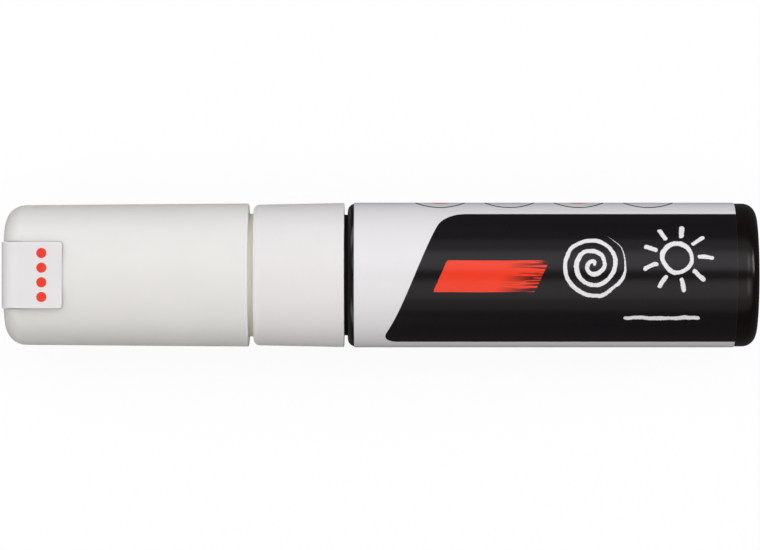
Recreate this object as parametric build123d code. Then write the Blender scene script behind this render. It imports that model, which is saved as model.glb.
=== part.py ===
from build123d import *
import math
import os

# Liquid chalk marker lying on its side. The axis runs along X, the cap points to -X and the tab faces up.
# Sizes are millimetres. Radii are measured from the marker's axis.

# Fits shared by several pieces
PUSH_FIT = 0.05  # radial play of pieces pushed together for good
TOUCH_GAP = 0.02  # between faces that rest on each other
CUT_OVERRUN = 1.0  # how far a cutting shape reaches past what it cuts
RIB_ROOT = 0.3  # how far a rib or vane sinks into the wall that carries it

# Barrel: a one-piece bottle with a neck and a closed tail
BARREL_LENGTH = 64.81  # shoulder to tail
BARREL_WALL = 1.3
SHOULDER_WALL = 1.25
SHOULDER_EDGE_RADIUS = 1.25
TAIL_WALL = 1.6
TAIL_EDGE_RADIUS = 2.2
TAIL_DISH_RADIUS = 6.0  # shallow hollow in the tail's end face
TAIL_DISH_DEPTH = 0.4
RESERVOIR_CORNER_RADIUS = 1.0
NECK_WALL = 1.3
NECK_RING_HEIGHT = 0.25  # snap ring that holds the collar
NECK_RING_WIDTH = 1.2
NECK_RING_SETBACK = 4.0  # middle of the ring behind the neck's mouth

# Printed sleeve round the barrel, the thickest part of the marker
LABEL_RADIUS = 11.5
LABEL_THICKNESS = 0.12
LABEL_GLUE_GAP = 0.01
LABEL_LENGTH = 60.25
LABEL_INSET = 1.01  # bare barrel between the shoulder and the sleeve

# Front holder: collar, seat for the cap, sealing land and nose cone in one moulding
COLLAR_LENGTH = 14.39
COLLAR_GAP = 0.55  # groove between the collar and the barrel's shoulder
COLLAR_STEP = 0.04  # collar's rear edge below the sleeve
COLLAR_TAPER = 0.29  # loss of radius from the rear edge to the front edge
COLLAR_WALL = 1.52  # wall round the neck at the collar's front
COLLAR_FRONT_WALL = 2.44  # from the collar's front face to the valve
COLLAR_EDGE_RADIUS = 0.95
SEAT_LENGTH = 10.56  # sleeve that the cap slides over
SEAT_STEP_LENGTH = 1.4  # slope from the seat down to the sealing land
LAND_LENGTH = 5.5
NOSE_CONE_LENGTH = 4.9
NOSE_CONE_TAPER = 1.44  # loss of radius from the sealing land to the nose's tip
NOSE_WALL = 1.5
NOSE_TIP_WALL = 1.35  # wall round the corners of the nib's slot
NOSE_EDGE_RADIUS = 0.5
NIB_GUIDE_LENGTH = 6.0  # slot that guides the nib
NIB_FIN_LENGTH = 8.0  # fins that guide the nib's rear end
NIB_FIN_WIDTH = 1.2
NIB_FIN_SETBACK = 2.5  # bare nib behind the fins

# Nib: a felt bar with a slanted chisel end, as broad as the nose's tip allows
NIB_THICKNESS_SHARE = 0.636  # thickness of the nib's slot over its width
NIB_REACH = 8.5  # how far the nib stands out of the nose
NIB_SLANT = 3.2  # how far the short side of the chisel end lies back
NIB_EDGE_SHARE = 0.6  # thickness at the writing edge over the bar's thickness
NIB_TAPER_LENGTH = 4.5
NIB_EDGE_RADIUS = 0.45
NIB_FIT = 0.12  # play round the nib
NIB_TRAVEL = 1.8  # how far the nib is pressed in to open the valve

# Cap with its snap groove and the ribs that hold the inner cap
CAP_GAP = 0.76  # groove between the cap's rim and the collar
CAP_STEP = 0.12  # cap's rim below the sleeve
CAP_DRAFT = 0.3  # loss of radius from the rim to the closed end
CAP_WALL = 1.38
CAP_END_WALL = 1.5
CAP_CORNER_RADIUS = 3.2
CAP_RIM_EDGE_RADIUS = 0.25
CAP_FIT = 0.25  # play between the cap's bore and its seat
SNAP_BEAD_HEIGHT = 0.16
SNAP_BEAD_WIDTH = 1.4
SNAP_BEAD_SETBACK = 3.4  # middle of the bead in front of the collar
SNAP_GROOVE_PLAY = 0.1
CAP_RIB_COUNT = 8
CAP_RIB_WIDTH = 1.0
CAP_RIB_HEIGHT = 1.1

# Inner cap: a soft cup that seals on the nose
INNER_CAP_WALL = 0.8
INNER_CAP_END_WALL = 0.9
INNER_CAP_FLANGE_LENGTH = 1.2
INNER_CAP_FLANGE_PLAY = 0.35  # between the flange and the cap's bore
SEAL_FIT = 0.08  # play between the inner cap and the sealing land
SEAL_OVERLAP = 3.1  # how far the inner cap reaches over the land
NIB_ROOM = 5.2  # free space in front of the nib
STUD_HEAD_ROOM = 0.2  # between the tab's stud and the inner cap

# Tab: an L-shaped plate let into the cap's side and end
TAB_WIDTH = 10.48
TAB_LENGTH = 9.63
TAB_RISE = 0.35  # tab's flat face above the cap's closed end
TAB_PROUD = 0.08  # tab's leg beyond the cap's end face
TAB_RECESS = 0.6  # depth of the tab's seat in the cap
TAB_BEND_RADIUS = 2.0
TAB_LEG_DROP = 9.0  # end of the leg below the axis
TAB_EDGE_RADIUS = 0.25
TAB_CORNER_RADIUS = 0.45  # tab's rear corners, seen from above
TAB_FIT = 0.06  # play round the tab's plate
TAB_LEG_FIT = 0.19  # play beside its bend and leg
STUD_RADIUS = 1.5  # stud that holds the tab in the cap's end wall
STUD_HEAD_RADIUS = 2.3
STUD_HEAD_LENGTH = 0.7

# Valve housing: a plug in the bottle's neck with a conical seat
VALVE_FLANGE_LENGTH = 1.2
VALVE_FLANGE_STEP = 0.1  # flange below the neck's outside
VALVE_WALL = 1.6
VALVE_SKIRT_LENGTH = 10.0
VALVE_SKIRT_WALL = 1.3
VALVE_BORE_RADIUS = 2.0
VALVE_BOSS_LENGTH = 4.0
VALVE_BOSS_WALL = 0.7  # wall round the seat's wide end
VALVE_SEAT_RADIUS = 3.0  # wide end of the conical seat
VALVE_SEAT_LENGTH = 1.2

# Valve stem: crossed vanes in front, a conical head and a tail that guides the spring
STEM_ROOM = 2.9  # vanes left in front of the valve housing when the nib is pressed in
STEM_VANE_THICKNESS = 1.0
STEM_VANE_FIT = 0.12
STEM_HEAD_LENGTH = 1.0
STEM_SEAL_GAP = 0.05
STEM_TAIL_RADIUS = 1.2
STEM_TAIL_OVERHANG = 0.8  # tail behind the cage
STEM_NIB_GAP = 0.05  # between the stem's tip and the nib

# Valve spring
SPRING_LENGTH = 7.3
SPRING_WIRE = 0.45  # diameter
SPRING_INNER_PLAY = 0.65  # between the stem's tail and the coil
SPRING_TURNS = 6
SPRING_ARCS_PER_TURN = 2  # biarcs
SPRING_SAMPLES_PER_TURN = 24

# Valve cage: a slotted cup that holds the spring's rear end
CAGE_SEAT_DEPTH = 8.5  # ledge in the valve housing behind its front face
CAGE_LEDGE_HEIGHT = 0.45
CAGE_FLANGE_LENGTH = 1.2
CAGE_SPRING_PLAY = 1.2  # between the coil and the cage
CAGE_WALL = 1.0
CAGE_FLOOR = 1.2
CAGE_GUIDE_FIT = 0.15  # play round the stem's tail
CAGE_WINDOW_COUNT = 4
CAGE_WINDOW_WIDTH = 3.2
CAGE_WINDOW_MARGIN = 0.4  # left between a window and the flange or the floor

# Mixing balls
BALL_RADIUS = 3.0
BALL_WALL_GAP = 0.15
BALL_GAP = 0.2  # between the two balls
BALL_REST_SHARE = 0.5  # place along the reservoir

# Radii that follow from the sizes above
barrel_radius = LABEL_RADIUS - LABEL_THICKNESS - LABEL_GLUE_GAP
reservoir_radius = barrel_radius - BARREL_WALL
collar_rear_radius = LABEL_RADIUS - COLLAR_STEP
collar_front_radius = collar_rear_radius - COLLAR_TAPER
collar_bore = collar_front_radius - COLLAR_WALL
neck_radius = collar_bore - PUSH_FIT
neck_bore = neck_radius - NECK_WALL
cap_rim_radius = LABEL_RADIUS - CAP_STEP
cap_end_radius = cap_rim_radius - CAP_DRAFT
cap_rim_bore = cap_rim_radius - CAP_WALL
cap_end_bore = cap_end_radius - CAP_WALL
seat_radius = cap_rim_bore - CAP_FIT
chamber_radius = seat_radius - NOSE_WALL
inner_cap_radius = cap_end_bore - CAP_RIB_HEIGHT - PUSH_FIT
inner_cap_bore = inner_cap_radius - INNER_CAP_WALL
land_radius = inner_cap_bore - SEAL_FIT
land_bore = land_radius - NOSE_WALL
nose_tip_radius = land_radius - NOSE_CONE_TAPER
slot_corner_radius = nose_tip_radius - NOSE_TIP_WALL
slot_width = 2 * slot_corner_radius / math.hypot(1, NIB_THICKNESS_SHARE)
slot_thickness = slot_width * NIB_THICKNESS_SHARE
nib_width = slot_width - 2 * NIB_FIT
nib_thickness = slot_thickness - 2 * NIB_FIT
skirt_radius = neck_bore - PUSH_FIT
skirt_bore = skirt_radius - VALVE_SKIRT_WALL
cage_flange_radius = skirt_bore + CAGE_LEDGE_HEIGHT - PUSH_FIT
spring_radius = STEM_TAIL_RADIUS + SPRING_INNER_PLAY + SPRING_WIRE / 2
cage_bore = spring_radius + SPRING_WIRE / 2 + CAGE_SPRING_PLAY
cage_radius = cage_bore + CAGE_WALL
tab_top = cap_end_radius + TAB_RISE

# Places along the axis. The cap is as long as the nose, nib, room and walls that it covers.
nose_length = SEAT_LENGTH + SEAT_STEP_LENGTH + LAND_LENGTH + NOSE_CONE_LENGTH
cap_end_stack = INNER_CAP_END_WALL + STUD_HEAD_ROOM + STUD_HEAD_LENGTH + TOUCH_GAP + CAP_END_WALL
cap_length = nose_length + NIB_REACH + NIB_ROOM + cap_end_stack - CAP_GAP
marker_length = TAB_PROUD + cap_length + CAP_GAP + COLLAR_LENGTH + COLLAR_GAP + BARREL_LENGTH
tail_x = marker_length / 2
shoulder_x = tail_x - BARREL_LENGTH
collar_rear_x = shoulder_x - COLLAR_GAP
collar_front_x = collar_rear_x - COLLAR_LENGTH
seat_front_x = collar_front_x - SEAT_LENGTH
land_rear_x = seat_front_x - SEAT_STEP_LENGTH
land_front_x = land_rear_x - LAND_LENGTH
nose_tip_x = land_front_x - NOSE_CONE_LENGTH
nib_tip_x = nose_tip_x - NIB_REACH
inner_cap_floor_x = nib_tip_x - NIB_ROOM
inner_cap_end_x = inner_cap_floor_x - INNER_CAP_END_WALL
cap_rim_x = collar_front_x - CAP_GAP
cap_end_x = cap_rim_x - cap_length
cap_floor_x = cap_end_x + CAP_END_WALL
tab_end_x = cap_end_x - TAB_PROUD
inner_cap_mouth_x = land_front_x + SEAL_OVERLAP
inner_cap_flange_x = inner_cap_mouth_x - INNER_CAP_FLANGE_LENGTH
snap_bead_x = collar_front_x - SNAP_BEAD_SETBACK
valve_face_x = collar_front_x + COLLAR_FRONT_WALL
neck_mouth_x = valve_face_x + VALVE_FLANGE_LENGTH
neck_ring_x = neck_mouth_x + NECK_RING_SETBACK
stem_tip_x = valve_face_x - STEM_ROOM - NIB_TRAVEL
nib_rear_x = stem_tip_x - STEM_NIB_GAP
seat_rim_x = valve_face_x + VALVE_BOSS_LENGTH
seat_throat_x = seat_rim_x - VALVE_SEAT_LENGTH
stem_head_x = seat_rim_x + STEM_SEAL_GAP
stem_head_rear_x = stem_head_x + STEM_HEAD_LENGTH
spring_front_x = stem_head_rear_x + TOUCH_GAP
spring_rear_x = spring_front_x + SPRING_LENGTH
cage_seat_x = valve_face_x + CAGE_SEAT_DEPTH
cage_floor_x = spring_rear_x + TOUCH_GAP
cage_rear_x = cage_floor_x + CAGE_FLOOR
stem_rear_x = cage_rear_x + STEM_TAIL_OVERHANG
skirt_rear_x = neck_mouth_x + VALVE_SKIRT_LENGTH
reservoir_front_x = shoulder_x + SHOULDER_WALL
reservoir_rear_x = tail_x - TAIL_WALL
label_front_x = shoulder_x + LABEL_INSET


def turned(outline, corner_radii=()):
    """Turn an outline of (x, radius) points round the axis, rounding the named corners first."""
    face = make_face(Polyline(*outline, close=True))
    for corner, radius in corner_radii:
        nearest = face.vertices().sort_by_distance(Vector(*corner))[0]
        face = fillet(nearest, radius)
    return revolve(face, Axis.X)


def bar_along_axis(front_x, rear_x, width, thickness):
    """Box on the axis, with its width along Y and its thickness along Z."""
    middle = Pos((front_x + rear_x) / 2, 0, 0)
    return middle * Box(rear_x - front_x, width, thickness)


def bead(middle_x, radius, height, width):
    """Points of a low bead on a cylinder, from its rear foot to its front foot."""
    foot = width / 2
    crest = foot - height
    return [
        (middle_x + foot, radius),
        (middle_x + crest, radius + height),
        (middle_x - crest, radius + height),
        (middle_x - foot, radius),
    ]


def cap_outline_radius(x, end_radius, rim_radius):
    """Radius of the drafted cap at a place along it."""
    share = (x - cap_end_x) / cap_length
    return end_radius + (rim_radius - end_radius) * share


def make_barrel():
    """Bottle with an open neck, a snap ring on it and a hollow in its closed tail."""
    ring = reversed(bead(neck_ring_x, neck_radius, NECK_RING_HEIGHT, NECK_RING_WIDTH))
    outline = [
        (neck_mouth_x, neck_bore),
        (neck_mouth_x, neck_radius),
        *ring,
        (shoulder_x, neck_radius),
        (shoulder_x, barrel_radius),
        (tail_x, barrel_radius),
        (tail_x, 0),
        (reservoir_rear_x, 0),
        (reservoir_rear_x, reservoir_radius),
        (reservoir_front_x, reservoir_radius),
        (reservoir_front_x, neck_bore),
    ]
    corner_radii = [
        ((shoulder_x, barrel_radius), SHOULDER_EDGE_RADIUS),
        ((tail_x, barrel_radius), TAIL_EDGE_RADIUS),
        ((reservoir_rear_x, reservoir_radius), RESERVOIR_CORNER_RADIUS),
        ((reservoir_front_x, reservoir_radius), RESERVOIR_CORNER_RADIUS),
    ]
    bottle = turned(outline, corner_radii)
    dish_sphere_radius = (TAIL_DISH_RADIUS**2 + TAIL_DISH_DEPTH**2) / (2 * TAIL_DISH_DEPTH)
    dish_middle_x = tail_x - TAIL_DISH_DEPTH + dish_sphere_radius
    return bottle - Pos(dish_middle_x, 0, 0) * Sphere(dish_sphere_radius)


def make_label_sleeve():
    """Thin printed film round the barrel."""
    inner_radius = LABEL_RADIUS - LABEL_THICKNESS
    label_rear_x = label_front_x + LABEL_LENGTH
    outline = [
        (label_front_x, inner_radius),
        (label_front_x, LABEL_RADIUS),
        (label_rear_x, LABEL_RADIUS),
        (label_rear_x, inner_radius),
    ]
    return turned(outline)


def make_front_holder():
    """Collar, cap seat with its snap bead, sealing land and nose cone, with the nib's slot and fins."""
    ring_groove = bead(neck_ring_x, collar_bore, NECK_RING_HEIGHT, NECK_RING_WIDTH)
    slot_rear_x = nose_tip_x + NIB_GUIDE_LENGTH
    outline = [
        (collar_rear_x, collar_bore),
        (collar_rear_x, collar_rear_radius),
        (collar_front_x, collar_front_radius),
        (collar_front_x, seat_radius),
        *bead(snap_bead_x, seat_radius, SNAP_BEAD_HEIGHT, SNAP_BEAD_WIDTH),
        (seat_front_x, seat_radius),
        (land_rear_x, land_radius),
        (land_front_x, land_radius),
        (nose_tip_x, nose_tip_radius),
        (nose_tip_x, 0),
        (slot_rear_x, 0),
        (slot_rear_x, land_bore),
        (land_rear_x, land_bore),
        (seat_front_x, chamber_radius),
        (valve_face_x, chamber_radius),
        (valve_face_x, collar_bore),
        *reversed(ring_groove),
    ]
    corner_radii = [
        ((collar_front_x, collar_front_radius), COLLAR_EDGE_RADIUS),
        ((nose_tip_x, nose_tip_radius), NOSE_EDGE_RADIUS),
    ]
    body = turned(outline, corner_radii)
    slot = bar_along_axis(nose_tip_x - CUT_OVERRUN, slot_rear_x + CUT_OVERRUN, slot_width, slot_thickness)
    return body - slot + make_nib_fins()


def make_nib_fins():
    """Four fins in the chamber that keep the nib's rear end on the axis."""
    fins_rear_x = nib_rear_x - NIB_FIN_SETBACK
    fins_front_x = fins_rear_x - NIB_FIN_LENGTH
    reach = 2 * (chamber_radius + RIB_ROOT)
    across = bar_along_axis(fins_front_x, fins_rear_x, reach, NIB_FIN_WIDTH)
    upright = bar_along_axis(fins_front_x, fins_rear_x, NIB_FIN_WIDTH, reach)
    nib_way = bar_along_axis(
        fins_front_x - CUT_OVERRUN, fins_rear_x + CUT_OVERRUN, slot_width, slot_thickness
    )
    rooted = chamber_radius + RIB_ROOT
    limit = turned(
        [
            (fins_rear_x, 0),
            (fins_rear_x, rooted),
            (seat_front_x, rooted),
            (land_rear_x, land_bore + RIB_ROOT),
            (min(fins_front_x, land_rear_x) - CUT_OVERRUN, land_bore + RIB_ROOT),
            (min(fins_front_x, land_rear_x) - CUT_OVERRUN, 0),
        ]
    )
    return (across + upright - nib_way) & limit


def make_nib():
    """Felt bar with a tapered, slanted chisel end and softened edges."""
    side = nib_width / 2
    plan = Polyline(
        (nib_rear_x, -side),
        (nib_rear_x, side),
        (nib_tip_x + NIB_SLANT, side),
        (nib_tip_x, -side),
        close=True,
    )
    flat = nib_thickness / 2
    edge = flat * NIB_EDGE_SHARE
    bar = extrude(make_face(plan), flat, both=True)
    taper_x = nib_tip_x + NIB_TAPER_LENGTH
    profile = Polyline(
        (nib_rear_x, -flat),
        (nib_rear_x, flat),
        (taper_x, flat),
        (nib_tip_x, edge),
        (nib_tip_x, -edge),
        (taper_x, -flat),
        close=True,
    )
    wedge = extrude(make_face(Plane.XZ * profile), side, both=True)
    nib = bar & wedge
    square_edges = nib.edges().filter_by(lambda edge: edge.center().X > nib_rear_x - NIB_EDGE_RADIUS)
    return fillet(nib.edges() - square_edges, NIB_EDGE_RADIUS)


def make_cap_blank():
    """Drafted cap with a rounded closed end, a bore and a snap groove near its rim."""
    groove_bore = cap_outline_radius(snap_bead_x, cap_end_bore, cap_rim_bore)
    groove = bead(
        snap_bead_x, groove_bore, SNAP_BEAD_HEIGHT + SNAP_GROOVE_PLAY, SNAP_BEAD_WIDTH + SNAP_GROOVE_PLAY
    )
    floor_bore = cap_outline_radius(cap_floor_x, cap_end_bore, cap_rim_bore)
    outline = [
        (cap_end_x, 0),
        (cap_end_x, cap_end_radius),
        (cap_rim_x, cap_rim_radius),
        (cap_rim_x, cap_rim_bore),
        *groove,
        (cap_floor_x, floor_bore),
        (cap_floor_x, 0),
    ]
    corner_radii = [
        ((cap_end_x, cap_end_radius), CAP_CORNER_RADIUS),
        ((cap_rim_x, cap_rim_radius), CAP_RIM_EDGE_RADIUS),
        ((cap_floor_x, floor_bore), CAP_CORNER_RADIUS - CAP_WALL),
    ]
    return turned(outline, corner_radii)


def make_tab_floor():
    """Cap's outside lowered by the depth of the tab's seat, to cut the tab and its seat to shape."""
    floor_end_x = cap_end_x + TAB_RECESS
    floor_radius = cap_end_radius - TAB_RECESS
    rear_x = tab_end_x + TAB_LENGTH + CUT_OVERRUN
    rear_radius = cap_outline_radius(rear_x, cap_end_radius, cap_rim_radius) - TAB_RECESS
    outline = [
        (floor_end_x, 0),
        (floor_end_x, floor_radius),
        (rear_x, rear_radius),
        (rear_x, 0),
    ]
    return turned(outline, [((floor_end_x, floor_radius), CAP_CORNER_RADIUS - TAB_RECESS)])


def make_tab_block(length, leg_drop, side_play):
    """Block with the tab's bend in side view, as wide as the tab and its play."""
    rear_x = tab_end_x + length
    side_view = Polyline(
        (tab_end_x, -leg_drop),
        (tab_end_x, tab_top),
        (rear_x, tab_top),
        (rear_x, -leg_drop),
        close=True,
    )
    face = make_face(side_view)
    bend = face.vertices().sort_by_distance(Vector(tab_end_x, tab_top))[0]
    face = fillet(bend, TAB_BEND_RADIUS)
    return extrude(Plane.XZ * face, TAB_WIDTH / 2 + side_play, both=True)


def make_tab_plan(leg_drop, play):
    """Tab's block with rounded rear corners, grown by the play round it."""
    block = make_tab_block(TAB_LENGTH + play, leg_drop, play)
    rear_corners = block.edges().filter_by(Axis.Z).group_by(Axis.X)[-1]
    return fillet(rear_corners, TAB_CORNER_RADIUS + play)


def make_cap_tab():
    """L-shaped plate that fits its seat, with a headed stud through the cap's end wall."""
    block = make_tab_plan(TAB_LEG_DROP, 0)
    middle_x = tab_end_x + TAB_LENGTH / 2
    bend_lines = block.edges().filter_by(Axis.Y)
    bend_lines = bend_lines.filter_by(lambda edge: edge.center().Z > 0 and edge.center().X < middle_x)
    corner_lines = block.edges().filter_by(Axis.Z).filter_by(lambda edge: edge.center().X > middle_x)
    plate = fillet(block.edges() - bend_lines - corner_lines, TAB_EDGE_RADIUS) - make_tab_floor()
    leg_inside_x = cap_end_x + TAB_RECESS
    head_front_x = cap_floor_x + TOUCH_GAP
    head_rear_x = head_front_x + STUD_HEAD_LENGTH
    stud = turned(
        [
            (leg_inside_x - TAB_RECESS / 2, 0),
            (leg_inside_x - TAB_RECESS / 2, STUD_RADIUS),
            (head_front_x, STUD_RADIUS),
            (head_front_x, STUD_HEAD_RADIUS),
            (head_rear_x, STUD_HEAD_RADIUS),
            (head_rear_x, 0),
        ]
    )
    return plate + stud


def make_cap_shell():
    """Cap with the seat for the tab, the hole for its stud and the ribs that hold the inner cap."""
    leg_seat = make_tab_block(TAB_PROUD + CAP_CORNER_RADIUS, cap_end_radius + CUT_OVERRUN, TAB_LEG_FIT)
    seat = make_tab_plan(0, TAB_FIT) + leg_seat - make_tab_floor()
    stud_hole = turned(
        [
            (cap_end_x, 0),
            (cap_end_x, STUD_RADIUS + PUSH_FIT),
            (cap_floor_x + CUT_OVERRUN, STUD_RADIUS + PUSH_FIT),
            (cap_floor_x + CUT_OVERRUN, 0),
        ]
    )
    shell = make_cap_blank() - seat - stud_hole
    rib_front_x = cap_floor_x + CAP_CORNER_RADIUS - CAP_WALL
    rib_rear_x = inner_cap_flange_x - TOUCH_GAP
    rib_inside = inner_cap_radius + PUSH_FIT
    rib_outside = cap_outline_radius(rib_rear_x, cap_end_bore, cap_rim_bore) + RIB_ROOT
    rib_middle = Pos((rib_front_x + rib_rear_x) / 2, 0, (rib_inside + rib_outside) / 2)
    rib = rib_middle * Box(rib_rear_x - rib_front_x, CAP_RIB_WIDTH, rib_outside - rib_inside)
    for index in range(CAP_RIB_COUNT):
        turn = 360 * (index + 0.5) / CAP_RIB_COUNT
        shell += Rot(X=turn) * rib
    return shell


def make_inner_cap():
    """Soft cup with a flange at its mouth, seated on the cap's ribs."""
    flange_radius = cap_outline_radius(inner_cap_flange_x, cap_end_bore, cap_rim_bore) - INNER_CAP_FLANGE_PLAY
    outline = [
        (inner_cap_end_x, 0),
        (inner_cap_end_x, inner_cap_radius),
        (inner_cap_flange_x, inner_cap_radius),
        (inner_cap_flange_x, flange_radius),
        (inner_cap_mouth_x, flange_radius),
        (inner_cap_mouth_x, inner_cap_bore),
        (inner_cap_floor_x, inner_cap_bore),
        (inner_cap_floor_x, 0),
    ]
    corner_radii = [
        ((inner_cap_end_x, inner_cap_radius), INNER_CAP_WALL),
    ]
    return turned(outline, corner_radii)


def make_valve_housing():
    """Plug with a flange on the neck's mouth, a conical seat in a boss and a ledge for the cage."""
    boss_radius = VALVE_SEAT_RADIUS + VALVE_BOSS_WALL
    wall_rear_x = valve_face_x + VALVE_WALL
    ledge_bore = skirt_bore + CAGE_LEDGE_HEIGHT
    outline = [
        (valve_face_x, VALVE_BORE_RADIUS),
        (valve_face_x, neck_radius - VALVE_FLANGE_STEP),
        (neck_mouth_x, neck_radius - VALVE_FLANGE_STEP),
        (neck_mouth_x, skirt_radius),
        (skirt_rear_x, skirt_radius),
        (skirt_rear_x, ledge_bore),
        (cage_seat_x, ledge_bore),
        (cage_seat_x, skirt_bore),
        (wall_rear_x, skirt_bore),
        (wall_rear_x, boss_radius),
        (seat_rim_x, boss_radius),
        (seat_rim_x, VALVE_SEAT_RADIUS),
        (seat_throat_x, VALVE_BORE_RADIUS),
    ]
    return turned(outline)


def make_valve_stem():
    """Crossed vanes that reach the nib, a conical head on the seat and a tail through the spring."""
    throat_x = seat_throat_x + STEM_SEAL_GAP
    head = turned(
        [
            (throat_x, 0),
            (throat_x, VALVE_BORE_RADIUS),
            (stem_head_x, VALVE_SEAT_RADIUS),
            (stem_head_rear_x, VALVE_SEAT_RADIUS),
            (stem_head_rear_x, STEM_TAIL_RADIUS),
            (stem_rear_x, STEM_TAIL_RADIUS),
            (stem_rear_x, 0),
        ]
    )
    vane_radius = VALVE_BORE_RADIUS - STEM_VANE_FIT
    vane_rear_x = throat_x + STEM_HEAD_LENGTH
    vane = bar_along_axis(stem_tip_x, vane_rear_x, 2 * vane_radius, STEM_VANE_THICKNESS)
    vanes = vane + Rot(X=90) * vane
    round_limit = turned(
        [
            (stem_tip_x, 0),
            (stem_tip_x, vane_radius),
            (vane_rear_x, vane_radius),
            (vane_rear_x, 0),
        ]
    )
    return head + (vanes & round_limit)


def spring_point(turn):
    """Point of the spring's middle line and its direction after a number of turns."""
    pitch = (SPRING_LENGTH - SPRING_WIRE) / SPRING_TURNS
    angle = 2 * math.pi * turn
    start_x = spring_front_x + SPRING_WIRE / 2
    point = Vector(
        start_x + pitch * turn, spring_radius * math.cos(angle), spring_radius * math.sin(angle)
    )
    run = 2 * math.pi * spring_radius
    direction = Vector(pitch, -run * math.sin(angle), run * math.cos(angle)).normalized()
    return point, direction


def biarc(start, start_direction, end, end_direction):
    """Two tangent arcs between two points with given directions."""
    chord = end - start
    square = 2 * (start_direction.dot(end_direction) - 1)
    linear = -2 * chord.dot(start_direction + end_direction)
    reach = (-linear - math.sqrt(linear**2 - 4 * square * chord.dot(chord))) / (2 * square)
    first_corner = start + start_direction * reach
    last_corner = end - end_direction * reach
    joint = (first_corner + last_corner) / 2
    middle_direction = (last_corner - first_corner).normalized()
    return [
        Edge.make_tangent_arc(start, start_direction, joint),
        Edge.make_tangent_arc(joint, middle_direction, end),
    ]


def make_valve_spring():
    """Open coil between the stem's head and the cage, as one unbroken wire."""
    arcs = []
    for index in range(SPRING_TURNS * SPRING_ARCS_PER_TURN):
        start = spring_point(index / SPRING_ARCS_PER_TURN)
        end = spring_point((index + 1) / SPRING_ARCS_PER_TURN)
        arcs += biarc(*start, *end)
    path = Wire(arcs)
    first_point, first_direction = spring_point(0)
    section = Plane(first_point, z_dir=first_direction) * Circle(SPRING_WIRE / 2)
    print(f"valve_spring: least gap to itself {least_spring_gap():.2f} mm")
    return sweep(section, path=path)


def least_spring_gap():
    """Least distance between wire surfaces that are more than half a turn apart."""
    count = SPRING_TURNS * SPRING_SAMPLES_PER_TURN
    points = [spring_point(index / SPRING_SAMPLES_PER_TURN)[0] for index in range(count + 1)]
    apart = SPRING_SAMPLES_PER_TURN // 2
    distances = [
        (points[late] - points[early]).length
        for early in range(count)
        for late in range(early + apart, count + 1)
    ]
    return min(distances) - SPRING_WIRE


def make_valve_cage():
    """Cup with a flange on the housing's ledge, a guide hole and windows that let the ink in."""
    flange_rear_x = cage_seat_x + TOUCH_GAP + CAGE_FLANGE_LENGTH
    guide_radius = STEM_TAIL_RADIUS + CAGE_GUIDE_FIT
    cup = turned(
        [
            (cage_seat_x + TOUCH_GAP, cage_bore),
            (cage_seat_x + TOUCH_GAP, cage_flange_radius),
            (flange_rear_x, cage_flange_radius),
            (flange_rear_x, cage_radius),
            (cage_rear_x, cage_radius),
            (cage_rear_x, guide_radius),
            (cage_floor_x, guide_radius),
            (cage_floor_x, cage_bore),
        ]
    )
    window_front_x = flange_rear_x + CAGE_WINDOW_MARGIN
    window_rear_x = cage_floor_x - CAGE_WINDOW_MARGIN
    across = 2 * (cage_radius + CUT_OVERRUN)
    cut = bar_along_axis(window_front_x, window_rear_x, across, CAGE_WINDOW_WIDTH)
    for index in range(CAGE_WINDOW_COUNT // 2):
        cup -= Rot(X=360 * index / CAGE_WINDOW_COUNT) * cut
    return cup


def make_mixing_ball(side):
    """One of two steel balls lying side by side in the bottom of the reservoir."""
    lane_radius = reservoir_radius - BALL_RADIUS - BALL_WALL_GAP
    half_spacing = BALL_RADIUS + BALL_GAP / 2
    depth = math.sqrt(lane_radius**2 - half_spacing**2)
    rest_x = reservoir_front_x + (reservoir_rear_x - reservoir_front_x) * BALL_REST_SHARE
    return Pos(rest_x, side * half_spacing, -depth) * Sphere(BALL_RADIUS)


nodes = {
    "barrel": make_barrel(),
    "label_sleeve": make_label_sleeve(),
    "front_holder": make_front_holder(),
    "nib": make_nib(),
    "valve_housing": make_valve_housing(),
    "valve_stem": make_valve_stem(),
    "valve_spring": make_valve_spring(),
    "valve_cage": make_valve_cage(),
    "cap_shell": make_cap_shell(),
    "cap_tab": make_cap_tab(),
    "inner_cap": make_inner_cap(),
    "mixing_ball_a": make_mixing_ball(-1),
    "mixing_ball_b": make_mixing_ball(1),
}

# The sleeve rests on the floor, so the axis lies one sleeve radius above it
os.makedirs("parts", exist_ok=True)
for name, shape in nodes.items():
    export_step(Pos(0, 0, LABEL_RADIUS) * shape, f"parts/{name}.step")
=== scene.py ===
import math

import bmesh
import bpy
from bpy.props import FloatProperty, FloatVectorProperty, IntProperty, PointerProperty
from mathutils import Matrix, Vector, noise


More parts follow.
